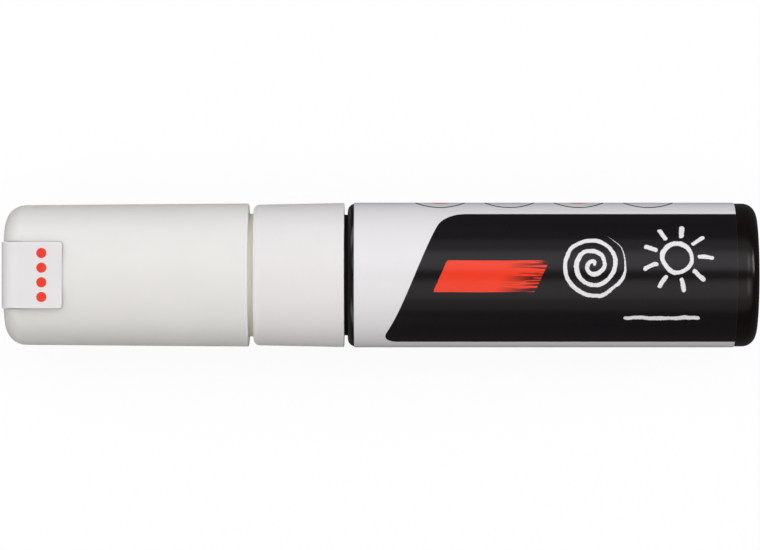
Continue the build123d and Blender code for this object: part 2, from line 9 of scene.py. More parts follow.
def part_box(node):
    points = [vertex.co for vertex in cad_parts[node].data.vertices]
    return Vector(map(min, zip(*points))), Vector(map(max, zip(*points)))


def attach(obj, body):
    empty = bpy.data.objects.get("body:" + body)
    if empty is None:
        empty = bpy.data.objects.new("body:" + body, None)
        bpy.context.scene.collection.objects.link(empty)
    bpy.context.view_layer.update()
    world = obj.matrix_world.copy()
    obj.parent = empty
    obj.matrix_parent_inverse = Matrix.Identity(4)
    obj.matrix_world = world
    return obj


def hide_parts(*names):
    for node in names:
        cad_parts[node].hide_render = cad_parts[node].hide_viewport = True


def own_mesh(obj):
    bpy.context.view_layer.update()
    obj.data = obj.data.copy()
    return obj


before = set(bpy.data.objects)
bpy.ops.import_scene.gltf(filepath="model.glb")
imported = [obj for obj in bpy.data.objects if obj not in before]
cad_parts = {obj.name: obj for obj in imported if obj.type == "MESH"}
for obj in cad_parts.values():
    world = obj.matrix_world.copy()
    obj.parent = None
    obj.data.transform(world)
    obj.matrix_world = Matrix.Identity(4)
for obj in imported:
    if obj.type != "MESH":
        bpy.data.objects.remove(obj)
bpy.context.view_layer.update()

bl_info = {
    "name": "Liquid Chalk Marker",
    "version": (1, 0, 0),
    "blender": (4, 5, 0),
    "location": "View3D > Sidebar > Marker",
    "description": "Dresses the packed solids of a liquid chalk marker for a studio picture",
    "category": "Object",
}

MM = 0.001


def reach(node):
    """Front end, rear end and half the width of a node that lies on the marker's axis."""
    low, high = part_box(node)
    return low.x, high.x, (high.y - low.y) / 2


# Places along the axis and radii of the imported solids, in metres
label_front, label_rear, label_radius = reach("label_sleeve")
neck_mouth, tail_end, barrel_radius = reach("barrel")
nose_tip, collar_rear, collar_radius = reach("front_holder")
cap_end, cap_rim, cap_radius = reach("cap_shell")
cup_end, cup_mouth, cup_flange_radius = reach("inner_cap")
nib_tip, nib_rear, nib_side = reach("nib")
spring_front, spring_rear, spring_outside = reach("valve_spring")
tab_low, tab_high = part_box("cap_tab")
nib_low, nib_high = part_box("nib")
axis_height = label_radius

# Colours of the stage, as linear light
WHITE = (1.0, 1.0, 1.0)
BLACK = (0.0, 0.0, 0.0)
FLOOR_COLOUR = (0.06, 0.06, 0.06)
BACKDROP_COLOUR = (0.9, 0.9, 0.9)
CEILING_COLOUR = (0.02, 0.02, 0.02)

# Bottle and film: steps that the boxes of the solids don't give
LABEL_THICKNESS = 0.12 * MM
LABEL_INSET = 1.01 * MM  # bare barrel between its shoulder and the film
BARREL_WALL = 1.3 * MM
SHOULDER_WALL = 1.25 * MM
TAIL_WALL = 1.6 * MM
NECK_RADIUS = 9.6 * MM
NECK_WALL = 1.3 * MM
NECK_RING_HEIGHT = 0.25 * MM  # snap ring that holds the collar
NECK_RING_WIDTH = 1.2 * MM
NECK_RING_SETBACK = 4.0 * MM
RESERVOIR_CORNER = 1.0 * MM
DISH_EDGE = 0.3 * MM
DISH_BEND_SHARE = 1 / 3  # of the dish's radius

# Collar, nose and nib
COLLAR_LENGTH = 14.39 * MM
COLLAR_TAPER = 0.29 * MM
COLLAR_BORE = 9.65 * MM
COLLAR_FRONT_WALL = 2.44 * MM
SEAT_RADIUS = 9.75 * MM
SEAT_LENGTH = 10.56 * MM
SEAT_STEP_LENGTH = 1.4 * MM
LAND_RADIUS = 7.67 * MM
LAND_LENGTH = 5.5 * MM
NOSE_TIP_RADIUS = 6.23 * MM
NOSE_WALL = 1.5 * MM
NIB_GUIDE_LENGTH = 6.0 * MM
NIB_FIT = 0.12 * MM
NIB_SLANT = 3.2 * MM
NIB_TAPER_LENGTH = 4.5 * MM
NIB_EDGE_SHARE = 0.6
NIB_FIN_LENGTH = 8.0 * MM
NIB_FIN_WIDTH = 1.2 * MM
NIB_FIN_SETBACK = 2.5 * MM
FIN_ROOT = 0.3 * MM  # how far a fin sinks into the wall
SNAP_BEAD_HEIGHT = 0.16 * MM
SNAP_BEAD_WIDTH = 1.4 * MM
SNAP_BEAD_SETBACK = 3.4 * MM
SNAP_GROOVE_PLAY = 0.1 * MM

# Cap, tab and sealing cup
CAP_DRAFT = 0.3 * MM
CAP_WALL = 1.38 * MM
CAP_END_WALL = 1.5 * MM
CAP_MOUTH_EDGE = 0.15 * MM
CAP_RIB_COUNT = 8
CAP_RIB_STEPS = 4  # steps of the spin that a rib is wide
CAP_FLOOR_ROUND_SHARE = 0.9
TAB_LENGTH = 9.63 * MM
TAB_RECESS = 0.6 * MM
TAB_FIT = 0.02 * MM
TAB_LEG_FIT = 0.1 * MM
TAB_LEG_OVERRUN = 0.1 * MM
STUD_RADIUS = 1.5 * MM
STUD_HEAD_RADIUS = 2.3 * MM
STUD_HEAD_LENGTH = 0.7 * MM
STUD_EDGE = 0.2 * MM
STUD_GAP = 0.02 * MM
PUSH_FIT = 0.05 * MM
CUP_RADIUS = 8.55 * MM
CUP_WALL = 0.8 * MM
CUP_END_WALL = 0.9 * MM
CUP_FLANGE_LENGTH = 1.2 * MM
CUP_FLANGE_EDGE = 0.15 * MM
CUP_MOUTH_EDGE = 0.25 * MM
CUP_FLOOR_CORNER = 0.4 * MM

# Spring
SPRING_WIRE = 0.45 * MM
SPRING_TURNS = 6
SPRING_CLOSED_TURNS = 1  # at each end
SPRING_CLOSED_GAP = 0.03 * MM

# What cutting shapes reach past the shape they cut
CUT_OVERRUN = 1.0 * MM

# Places that follow from the boxes and the steps
shoulder = label_front - LABEL_INSET
collar_front = collar_rear - COLLAR_LENGTH
neck_ring = neck_mouth + NECK_RING_SETBACK
slot_half_width = nib_side + NIB_FIT
slot_half_thickness = (nib_high.z - nib_low.z) / 2 + NIB_FIT

# Patterns. A SPAN is where a pattern fades in, and ROUGH is how far it moves the roughness
PATTERN_MIDDLE = 0.5
PLAIN_DETAIL = 1.0
FINE_DETAIL = 3.0
WHOLE_SHARES = (1.0, 1.0, 1.0)

# White plastics
PLASTIC_CLOUD = 7.0 * MM
PLASTIC_CLOUD_SPAN = (0.7, 0.3)
PLASTIC_CLOUD_SHARE = 0.015
PLASTIC_CLOUD_ROUGH = 0.06
PLASTIC_GRAIN = 0.22 * MM
PLASTIC_GRAIN_HEIGHT = 0.006 * MM
PLASTIC_GRAIN_ROUGH = 0.08
PLASTIC_DEPTH_SHARE = 0.9
COLLAR_GLOSS = (0.4, 0.4, 0.3 * MM)  # roughness, specular level and how far light soaks in
CAP_GLOSS = (0.42, 0.4, 0.5 * MM)
TAB_GLOSS = (0.34, 0.45, 0.4 * MM)
# The nose's colour is painted light: brighter and creamier than the collar, for the light in the groove
# between cap and collar
NOSE_GLOW_FADE = 0.5 * MM  # over which the nose's colour turns into the collar's
DOT_COUNT = 4

# Black plastic
BOTTLE_ROUGHNESS = 0.2
BOTTLE_FLOW = 3.0 * MM
BOTTLE_FLOW_SHARES = (0.2, 1.0, 1.0)
BOTTLE_FLOW_HEIGHT = 0.004 * MM
BOTTLE_FLOW_ROUGH = 0.06
SCRATCH = 0.08 * MM
SCRATCH_SHARES = (1.0, 0.06, 0.06)
SCRATCH_SPAN = (0.62, 0.75)
SCRATCH_SHARE = 0.25
SCRATCH_ROUGH = 0.03
SCRATCH_GLINT = 3.0  # times the bottle's own colour
NECK_FADE = 0.2 * MM  # over which the dull neck turns into the glossy shoulder
NECK_ROUGH = 0.55
GLOSS_SPECULAR = 0.28  # of the bottle and the film

# Felt
FELT_FIBRE = 0.16 * MM
FELT_FIBRE_SHARES = (0.05, 1.0, 1.0)
FELT_FIBRE_CONTRAST = 0.6
FELT_FIBRE_ROUGH = 0.1
FELT_CLUMP = 1.2 * MM
FELT_CLUMP_SHARE = 0.5
FELT_HEIGHT = 0.05 * MM
FELT_PORE_SPAN = (0.35, 0.65)
FELT_PORE_SHARE = 0.86
FELT_WET_START = 3.0 * MM
FELT_WET_STOP = 8.0 * MM
FELT_WET_DRIFT = 2.0 * MM
FELT_WET_SHARE = 0.7
FELT_WET_COLOUR = (0.88, 0.88, 0.87)
FELT_WET_ROUGH = -0.25
FELT_ROUGHNESS = 0.85
FELT_SPECULAR = 0.3

# Inner plastic and steel
NATURAL_STREAK = 1.4 * MM
NATURAL_STREAK_SHARES = (0.25, 1.0, 1.0)
NATURAL_STREAK_SPAN = (0.3, 0.7)
NATURAL_STREAK_ROUGH = 0.12
NATURAL_SHADE_SHARE = 0.94
NATURAL_GRAIN = 0.15 * MM
NATURAL_GRAIN_HEIGHT = 0.005 * MM
NATURAL_ROUGHNESS = 0.42
NATURAL_SPECULAR = 0.45
WIRE_GLOSS = (0.3, 0.05 * MM)  # roughness and size of the marks
BALL_GLOSS = (0.14, 0.6 * MM)
STEEL_DETAIL = 4.0
STEEL_CONTRAST = 0.65
STEEL_MARK_HEIGHT = 0.002 * MM
STEEL_MARK_ROUGH = 0.12
STEEL_TRACE = 1.5 * MM  # dried ink
STEEL_TRACE_SPAN = (0.66, 0.72)
STEEL_TRACE_SHARE = 0.35
STEEL_TRACE_COLOUR = (0.75, 0.75, 0.74)
STEEL_TRACE_ROUGH = 0.3

# Printed film
CHALK_GRAIN = 0.14 * MM
CHALK_DRIFT = 3.2 * MM
CHALK_PIT_SPAN = (0.56, 0.7)
CHALK_PIT_SHARE = 0.35
CHALK_ROUGH = 0.03
STROKE_STREAK = 0.5 * MM
STROKE_STREAK_SHARES = (0.06, 1.0, 1.0)
STROKE_STREAK_SPAN = (0.46, 0.56)
STROKE_DRY_SHARE = 0.1  # of the stroke's half length, where it starts to run dry
SUN_RAY_COUNT = 9
RING_COUNT = 4
SEAM_SHARE = 0.35
SEAM_SHADE_SHARE = 0.6
SEAM_STEP_SHARE = 0.5
FILM_CUT = 0.06 * MM  # pale cut edge at the film's ends
FILM_CUT_SHARE = 0.05
FILM_TONE = 5.0 * MM
FILM_TONE_SHARE = 0.985
FILM_TONE_ROUGH = 0.04
FILM_ROUGHNESS = 0.21
FILM_RIPPLE = 6.0 * MM
FILM_RIPPLE_SHARES = (0.5, 1.0, 1.0)
FILM_RIPPLE_HEIGHT = 0.02 * MM

# How meshes and the stage are made
WELD = 0.001 * MM
SHARP_ANGLE = math.radians(32)
ROUND_PROFILE = 0.5
ROUND_SEGMENTS = 8
FINE_SEGMENTS = 3
FINE_ROUND = 0.3 * MM  # largest rounding that fine segments are enough for
BALL_SUBDIVISIONS = 5
WIRE_SEGMENTS = 16
COIL_STEPS = 48
NIB_CUTS = 12
NIB_LONG_EDGE = 2.0 * MM  # longer edges are divided
NIB_FIBRE = 0.5 * MM
NIB_FIBRE_SHARE = 0.1
CEILING_SPAN = (0.5, 0.8)  # rise of a ray between backdrop and ceiling
CAMERA_CLIP = 50 * MM


def length_prop(name, description, millimetres):
    """Property for one length."""
    return FloatProperty(name=name, description=description, default=millimetres * MM, unit="LENGTH")


def pair_prop(name, description, *millimetres):
    """Property for two lengths."""
    pair = [length * MM for length in millimetres]
    return FloatVectorProperty(name=name, description=description, default=pair, size=2, unit="LENGTH")


def angle_prop(name, description, degrees):
    """Property for an angle."""
    return FloatProperty(name=name, description=description, default=math.radians(degrees), subtype="ANGLE")


def share_prop(name, description, share, low=0):
    """Property for a share up to the whole."""
    return FloatProperty(name=name, description=description, default=share, subtype="FACTOR", min=low, max=1)


def colour_prop(name, description, *light):
    """Property for a colour."""
    return FloatVectorProperty(name=name, description=description, default=light, subtype="COLOR")


def glow_prop(name, description, glow):
    """Property for a lamp's brightness."""
    return FloatProperty(name=name, description=description, default=glow, min=0)


def glows_prop(name, description, *glows):
    """Property for the brightness of two lamps."""
    return FloatVectorProperty(name=name, description=description, default=glows, size=2, min=0)


class MarkerSizes(bpy.types.PropertyGroup):
    """Roundings of the marker's mouldings and how finely they are turned."""

    turn_steps: IntProperty(name="Turn steps", description="Steps round a turned piece", default=256, min=64)
    shoulder_edge: length_prop("Shoulder edge", "Rounding of the barrel's front edge", 1.25)
    tail_edge: length_prop("Tail edge", "Rounding of the barrel's closed end", 2.2)
    dish_radius: length_prop("Dish radius", "Hollow in the tail's end face", 6.0)
    dish_depth: length_prop("Dish depth", "Depth of the hollow in the tail", 0.4)
    gate_radius: length_prop("Gate radius", "Mark left by the moulding gate", 1.1)
    gate_depth: length_prop("Gate depth", "Depth of the gate mark", 0.12)
    film_edge: length_prop("Film edge", "Rounding of the film's cut edges", 0.04)
    collar_edge: length_prop("Collar edge", "Rounding of the collar's front edge", 0.95)
    collar_rear_edge: length_prop("Collar rear edge", "Rounding of the collar's rear edge", 0.12)
    nose_edge: length_prop("Nose edge", "Rounding of the nose round the nib", 0.5)
    slot_corner: length_prop("Slot corner", "Rounding of the nib slot's corners", 0.3)
    slot_mouth: length_prop("Slot mouth", "Softened edge of the nib's slot", 0.2)
    nib_edge: length_prop("Nib edge", "Rounding of the felt's edges", 0.45)
    nib_fuzz: length_prop("Nib fuzz", "Unevenness of the felt's surface", 0.04)
    cap_corner: length_prop("Cap corner", "Rounding of the cap's closed end", 3.2)
    cap_rim_edge: length_prop("Cap rim edge", "Rounding of the cap's rim", 0.25)
    tab_bend: length_prop("Tab bend", "Rounding where the tab turns down", 2.8)
    tab_corner: length_prop("Tab corner", "Rounding of the tab's rear corners", 0.45)
    tab_edge: length_prop("Tab edge", "Rounding of the tab's edges", 0.12)


class MarkerColours(bpy.types.PropertyGroup):
    """Colours of the marker's materials, as linear light."""

    cap: colour_prop("Cap", "Warm white of the cap", 0.825, 0.818, 0.798)
    collar: colour_prop("Collar", "White of the collar and nose", 0.825, 0.812, 0.81)
    tab: colour_prop("Tab", "Cool white of the cap's tab", 0.83, 0.815, 0.825)
    # Painted light: the nose and cap seat are coloured brighter and creamier than the collar, standing in
    # for bounce light and light through the plastic in the groove between cap and collar
    nose: colour_prop("Nose", "Creamy white of the thin nose and cap seat", 0.97, 0.92, 0.845)
    barrel: colour_prop("Barrel", "Black of the bottle", 0.0052, 0.0034, 0.003)
    film: colour_prop("Film", "White ground of the film", 0.81, 0.8, 0.815)
    panel: colour_prop("Panel", "Black of the printed panel", 0.0078, 0.0062, 0.0074)
    accent: colour_prop("Accent", "Red-orange of the printed marks", 0.88, 0.05, 0.02)
    felt: colour_prop("Felt", "Nib soaked in white ink", 0.82, 0.81, 0.77)
    natural: colour_prop("Natural", "Uncoloured plastic of the inner pieces", 0.7, 0.71, 0.69)
    steel: colour_prop("Steel", "Spring and balls", 0.56, 0.56, 0.57)


class MarkerPrint(bpy.types.PropertyGroup):
    """Layout of the printed film. Places are along it from its middle, then round it from the top."""

    edge: length_prop("Edge", "Softness of the print's edges", 0.035)
    panel_front: length_prop("Panel front", "Front edge of the black panel at half its height", -21.0)
    panel_top: length_prop("Panel top", "Edge of the panel on the far side", 11.4)
    panel_bottom: length_prop("Panel bottom", "Edge of the panel on the near side", -13.4)
    panel_corner: length_prop("Panel corner", "Rounding of the panel's corners", 3.0)
    panel_slant: share_prop("Panel slant", "Lean of the panel's front edge", 0.42, low=-1)
    stroke_place: pair_prop("Stroke place", "Middle of the broad stroke", -8.6, -0.2)
    stroke_half: pair_prop("Stroke half size", "Half the stroke's length and width", 8.0, 2.5)
    stroke_slant: share_prop("Stroke slant", "Lean of the stroke's ends", 0.45, low=-1)
    stroke_corner: length_prop("Stroke corner", "Rounding of the stroke's corners", 0.3)
    chalk_line: length_prop("Chalk line", "Half the width of a chalk line", 0.34)
    chalk_wander: length_prop("Chalk wander", "How far hand-drawn lines stray", 0.9)
    chalk_crumble: length_prop("Chalk crumble", "Raggedness of a chalk line's edges", 0.22)
    spiral_place: pair_prop("Spiral place", "Middle of the chalk spiral", 7.4, 1.6)
    spiral_radius: length_prop("Spiral radius", "Outer end of the spiral", 5.2)
    spiral_pitch: length_prop("Spiral pitch", "Distance between the spiral's turns", 1.75)
    sun_place: pair_prop("Sun place", "Middle of the chalk sun", 20.6, 2.8)
    sun_radius: length_prop("Sun radius", "Ring of the sun", 2.3)
    sun_rays: pair_prop("Sun rays", "Inner and outer ends of the rays", 3.5, 5.3)
    line_place: pair_prop("Line place", "Middle of the chalk line", 18.2, -7.2)
    line_half: length_prop("Line half length", "Half the chalk line's length", 6.0)
    ring_row: length_prop("Ring row", "Row of picture rings round the film from its top", 17.6)
    ring_spacing: length_prop("Ring spacing", "Distance between the rings' middles", 11.0)
    ring_radius: length_prop("Ring radius", "Radius of the picture rings", 3.9)
    ring_line: length_prop("Ring line", "Half the width of a ring's line", 0.19)
    mark_half: pair_prop("Mark half size", "Half the length and width of a ring's mark", 2.2, 0.5)
    dot_place: length_prop("Dot place", "Row of dots on the tab from its rear edge", 3.2)
    dot_spacing: length_prop("Dot spacing", "Distance between the dots' middles", 2.3)
    dot_radius: length_prop("Dot radius", "Radius of the dots on the tab", 0.8)
    seam_width: length_prop("Seam width", "Half the width of the film's seam", 0.2)


class MarkerStage(bpy.types.PropertyGroup):
    """Camera and lamps."""

    camera_height: length_prop("Camera height", "Lens above the marker's axis", 790)
    camera_aim: length_prop("Camera aim", "Place on the axis below the lens", -0.085)
    view_width: length_prop("View width", "Width of the picture at the axis", 120.88)
    lamp_distance: length_prop("Lamp distance", "From the marker's axis to the softboxes", 950)
    strip_length: length_prop("Strip length", "Length of the softboxes beside the camera", 2600)
    strip_start: angle_prop("Strip start", "Upper edge of the bright softboxes from the zenith", 8)
    strip_middle: angle_prop("Strip middle", "Where the bright softboxes end and the weak ones start", 38)
    strip_stop: angle_prop("Strip stop", "Lower edge of the weak softboxes", 58)
    far_glows: glows_prop("Far glows", "Bright and weak softbox on the far side", 1.5, 0.52)
    near_glows: glows_prop("Near glows", "Bright and weak softbox on the near side", 1.03, 0.45)
    tail_glow: glow_prop("Tail glow", "Lamp beyond the tail", 9.5)
    tail_turn: angle_prop("Tail turn", "The tail's lamp round from the axis to the far side", 15)
    tail_rise: angle_prop("Tail rise", "Height of the tail's lamp above the axis", 23)
    tail_lamp: pair_prop("Tail lamp", "Width and height of the tail's lamp", 320, 170)
    wing_glows: glows_prop("Wing glows", "Soft lamps above the tail on the far and near side", 1.8, 1.3)
    wing_turn: angle_prop("Wing turn", "The soft lamps round from the axis to each side", 36)
    wing_rise: angle_prop("Wing rise", "Height of the soft lamps above the axis", 58)
    wing_lamp: pair_prop("Wing lamp", "Width and height of a soft lamp", 340, 400)
    cap_glow: glow_prop("Cap glow", "Lamp beyond the cap", 2.0)
    cap_turn: angle_prop("Cap turn", "The cap's lamp round from the axis to the far side", 25)
    cap_rise: angle_prop("Cap rise", "Height of the cap's lamp above the axis", 42)
    cap_lamp: pair_prop("Cap lamp", "Width and height of the cap's lamp", 320, 160)
    fill_glows: glows_prop("Fill glows", "Lamps on the far and near side of the cap", 3.1, 2.65)
    fill_turn: angle_prop("Fill turn", "The fill lamps round from the axis to each side", 58)
    fill_rise: angle_prop("Fill rise", "Height of the fill lamps above the axis", 11)
    fill_lamp: pair_prop("Fill lamp", "Width and height of a fill lamp", 900, 420)
    room: glow_prop("Room", "Even light from all round", 0.02)
    floor_size: length_prop("Floor size", "Half the floor's width", 4000)
    floor_share: share_prop("Floor share", "How much of the floor is plain white to the camera", 0.93)
    gloss_share: share_prop("Gloss share", "How much of that white shows in gloss and glass", 0.03)
    far_tint: colour_prop("Far tint", "Colour of the far softboxes", 0.98, 0.97, 1.0)
    near_tint: colour_prop("Near tint", "Colour of the near softboxes", 1.0, 0.97, 0.92)


class Value:
    """A node's output that takes part in Python expressions."""

    def __init__(self, finish, socket):
        self.finish = finish
        self.socket = socket

    def __add__(self, other):
        return self.finish.math("ADD", self, other)

    def __radd__(self, other):
        return self.finish.math("ADD", other, self)

    def __sub__(self, other):
        return self.finish.math("SUBTRACT", self, other)

    def __rsub__(self, other):
        return self.finish.math("SUBTRACT", other, self)

    def __mul__(self, other):
        return self.finish.math("MULTIPLY", self, other)

    def __truediv__(self, other):
        return self.finish.math("DIVIDE", self, other)

    def __abs__(self):
        return self.finish.math("ABSOLUTE", self)

    def centred(self):
        """A pattern from 0 to 1 as a change to both sides."""
        return self - PATTERN_MIDDLE


class Finish:
    """A node material, or the world's light, while it is being made."""

    def __init__(self, owner):
        self.owner = owner
        owner.use_nodes = True
        self.tree = owner.node_tree
        self.tree.nodes.clear()

    def node(self, kind, settings=None, inputs=None, output=0):
        """Add a node: its settings, then its inputs' values or links. Gives one of its outputs."""
        made = self.tree.nodes.new(kind)
        for name, setting in (settings or {}).items():
            setattr(made, name, setting)
        for key, value in (inputs or {}).items():
            if isinstance(value, Value):
                self.tree.links.new(value.socket, made.inputs[key])
            else:
                made.inputs[key].default_value = value
        return Value(self, made.outputs[output])

    def math(self, operation, *values):
        return self.node("ShaderNodeMath", {"operation": operation}, dict(enumerate(values)))

    def smallest(self, first, *others):
        for other in others:
            first = self.math("MINIMUM", first, other)
        return first

    def largest(self, first, *others):
        for other in others:
            first = self.math("MAXIMUM", first, other)
        return first

    def root_of_squares(self, first, second):
        return self.math("SQRT", first * first + second * second)

    def ramp(self, value, low, high):
        """Smooth step from 0 at low to 1 at high."""
        inputs = {"Value": value, "From Min": low, "From Max": high}
        return self.node("ShaderNodeMapRange", {"interpolation_type": "SMOOTHSTEP"}, inputs)

    def mix(self, share, first, second):
        """Colour between two colours."""
        inputs = {"Factor": share, 6: rgba(first), 7: rgba(second)}
        return self.node("ShaderNodeMix", {"data_type": "RGBA"}, inputs, 2)

    def place(self):
        """Object coordinates, which are places in the shared frame."""
        return self.node("ShaderNodeTexCoord", output="Object")

    def parts(self, vector):
        """The three numbers of a vector."""
        first = self.node("ShaderNodeSeparateXYZ", inputs={0: vector})
        outputs = first.socket.node.outputs
        return [Value(self, socket) for socket in outputs]

    def noise(self, size, shares=WHOLE_SHARES, detail=2.0, contrast=0.5, output=0):
        """Cloudy pattern from 0 to 1 with features of a size, drawn out along axes with a small share."""
        vector = self.node("ShaderNodeVectorMath", {"operation": "MULTIPLY"}, {0: self.place(), 1: shares})
        inputs = {"Vector": vector, "Scale": 1 / size, "Detail": detail, "Roughness": contrast}
        return self.node("ShaderNodeTexNoise", inputs=inputs, output=output)

    def inked(self, distance, edge):
        """1 inside an outline whose distance is negative there, with a print-sharp edge."""
        return 1 - self.ramp(distance, -edge, edge)

    def bump(self, height, distance):
        return self.node("ShaderNodeBump", inputs={"Height": height, "Distance": distance})

    def surface(self, **inputs):
        """Principled shader on the material's output. Underscores stand for spaces in socket names."""
        named = {name.replace("_", " "): value for name, value in inputs.items()}
        shader = self.node("ShaderNodeBsdfPrincipled", inputs=named)
        self.node_output("ShaderNodeOutputMaterial", shader)
        return self.owner

    def node_output(self, kind, shader):
        """Lead a shader to the output of the material or world."""
        made = self.tree.nodes.new(kind)
        self.tree.links.new(shader.socket, made.inputs["Surface"])


def rgba(colour):
    """Colour socket's value: a link as it is, or a colour with its alpha."""
    return colour if isinstance(colour, Value) else (*colour, 1.0)


def shade(colour, factor):
    return tuple(channel * factor for channel in colour)


def new_finish(name):
    return Finish(bpy.data.materials.new(name))


def row_of(count, spacing):
    """Places of like things in a row, from its middle."""
    return [(index - (count - 1) / 2) * spacing for index in range(count)]


def moulded_plastic(finish, colour, roughness, specular, depth):
    """Satin moulded plastic: faint clouding, fine mould texture and a slightly uneven gloss."""
    cloud = finish.noise(PLASTIC_CLOUD)
    grain = finish.noise(PLASTIC_GRAIN, detail=FINE_DETAIL)
    clouded = finish.ramp(cloud, *PLASTIC_CLOUD_SPAN) * PLASTIC_CLOUD_SHARE
    return finish.surface(
        Base_Color=finish.mix(clouded, colour, BLACK),
        Roughness=roughness + cloud.centred() * PLASTIC_CLOUD_ROUGH + grain.centred() * PLASTIC_GRAIN_ROUGH,
        Specular_IOR_Level=specular,
        Subsurface_Weight=PLASTIC_DEPTH_SHARE,
        Subsurface_Radius=WHOLE_SHARES,
        Subsurface_Scale=depth,
        Normal=finish.bump(grain, PLASTIC_GRAIN_HEIGHT),
    )


def collar_plastic(name, colours):
    """The collar's moulded plastic, with painted light on the nose and cap seat in front of it: coloured
    brighter and creamier for the light in the groove between cap and collar.
    """
    finish = new_finish(name)
    x = finish.parts(finish.place())[0]
    # Painted light: in front of the collar, the nose and cap seat take the brighter, creamier nose colour
    # that stands in for the light in the groove
    past_nose_glow = finish.ramp(x, collar_front, collar_front + NOSE_GLOW_FADE)
    return moulded_plastic(finish, finish.mix(past_nose_glow, colours.nose, colours.collar), *COLLAR_GLOSS)


def cap_plastic(name, colours):
    """The cap's plain moulded plastic."""
    return moulded_plastic(new_finish(name), colours.cap, *CAP_GLOSS)


def printed_tab(name, colours, layout):
    """The tab's moulded plastic with a row of printed dots on its flat top."""
    finish = new_finish(name)
    x, y = finish.parts(finish.place())[:2]
    from_row = x - (tab_low.x + TAB_LENGTH - layout.dot_place)
    from_dots = [finish.root_of_squares(from_row, y - dot) for dot in row_of(DOT_COUNT, layout.dot_spacing)]
    ink = finish.inked(finish.smallest(*from_dots) - layout.dot_radius, layout.edge)
    return moulded_plastic(finish, finish.mix(ink, colours.tab, colours.accent), *TAB_GLOSS)


def gloss_black(name, colour):
    """Glossy black bottle plastic with hair scratches and a faint flow pattern."""
    finish = new_finish(name)
    flow = finish.noise(BOTTLE_FLOW, BOTTLE_FLOW_SHARES)
    scratch = finish.noise(SCRATCH, SCRATCH_SHARES, PLAIN_DETAIL)
    worn = finish.ramp(scratch, *SCRATCH_SPAN)
    x = finish.parts(finish.place())[0]
    neck = 1 - finish.ramp(x, shoulder, shoulder + NECK_FADE)
    roughness = BOTTLE_ROUGHNESS + flow.centred() * BOTTLE_FLOW_ROUGH
    return finish.surface(
        Base_Color=finish.mix(worn * SCRATCH_SHARE, colour, shade(colour, SCRATCH_GLINT)),
        Roughness=roughness + worn * SCRATCH_ROUGH + neck * NECK_ROUGH,
        Specular_IOR_Level=GLOSS_SPECULAR,
        Normal=finish.bump(flow, BOTTLE_FLOW_HEIGHT),
    )


def felt(name, colour):
    """Bonded fibres that run along the nib, wet with ink near the writing edge."""
    finish = new_finish(name)
    fibre = finish.noise(FELT_FIBRE, FELT_FIBRE_SHARES, FINE_DETAIL, FELT_FIBRE_CONTRAST)
    clump = finish.noise(FELT_CLUMP, detail=FINE_DETAIL)
    x = finish.parts(finish.place())[0]
    wet = 1 - finish.ramp(x + clump * FELT_WET_DRIFT, nib_tip + FELT_WET_START, nib_tip + FELT_WET_STOP)
    pores = finish.ramp(fibre, *FELT_PORE_SPAN)
    fibre_colour = finish.mix(pores, shade(colour, FELT_PORE_SHARE), colour)
    return finish.surface(
        Base_Color=finish.mix(wet * FELT_WET_SHARE, fibre_colour, FELT_WET_COLOUR),
        Roughness=FELT_ROUGHNESS + wet * FELT_WET_ROUGH + fibre.centred() * FELT_FIBRE_ROUGH,
        Specular_IOR_Level=FELT_SPECULAR,
        Normal=finish.bump(fibre + clump * FELT_CLUMP_SHARE, FELT_HEIGHT),
    )


def natural_plastic(name, colour):
    """Milky uncoloured plastic with faint flow streaks."""
    finish = new_finish(name)
    streak = finish.noise(NATURAL_STREAK, NATURAL_STREAK_SHARES, FINE_DETAIL)
    share = finish.ramp(streak, *NATURAL_STREAK_SPAN)
    return finish.surface(
        Base_Color=finish.mix(share, shade(colour, NATURAL_SHADE_SHARE), colour),
        Roughness=NATURAL_ROUGHNESS + streak.centred() * NATURAL_STREAK_ROUGH,
        Specular_IOR_Level=NATURAL_SPECULAR,
        Normal=finish.bump(finish.noise(NATURAL_GRAIN), NATURAL_GRAIN_HEIGHT),
    )


def drawn_steel(name, colour, roughness, mark_size):
    """Steel with fine draw or polishing marks and thin traces of dried ink."""
    finish = new_finish(name)
    mark = finish.noise(mark_size, detail=STEEL_DETAIL, contrast=STEEL_CONTRAST)
    trace = finish.ramp(finish.noise(STEEL_TRACE, detail=FINE_DETAIL), *STEEL_TRACE_SPAN)
    return finish.surface(
        Base_Color=finish.mix(trace * STEEL_TRACE_SHARE, colour, STEEL_TRACE_COLOUR),
        Metallic=1 - trace * STEEL_TRACE_SHARE,
        Roughness=roughness + mark.centred() * STEEL_MARK_ROUGH + trace * STEEL_TRACE_ROUGH,
        Normal=finish.bump(mark, STEEL_MARK_HEIGHT),
    )


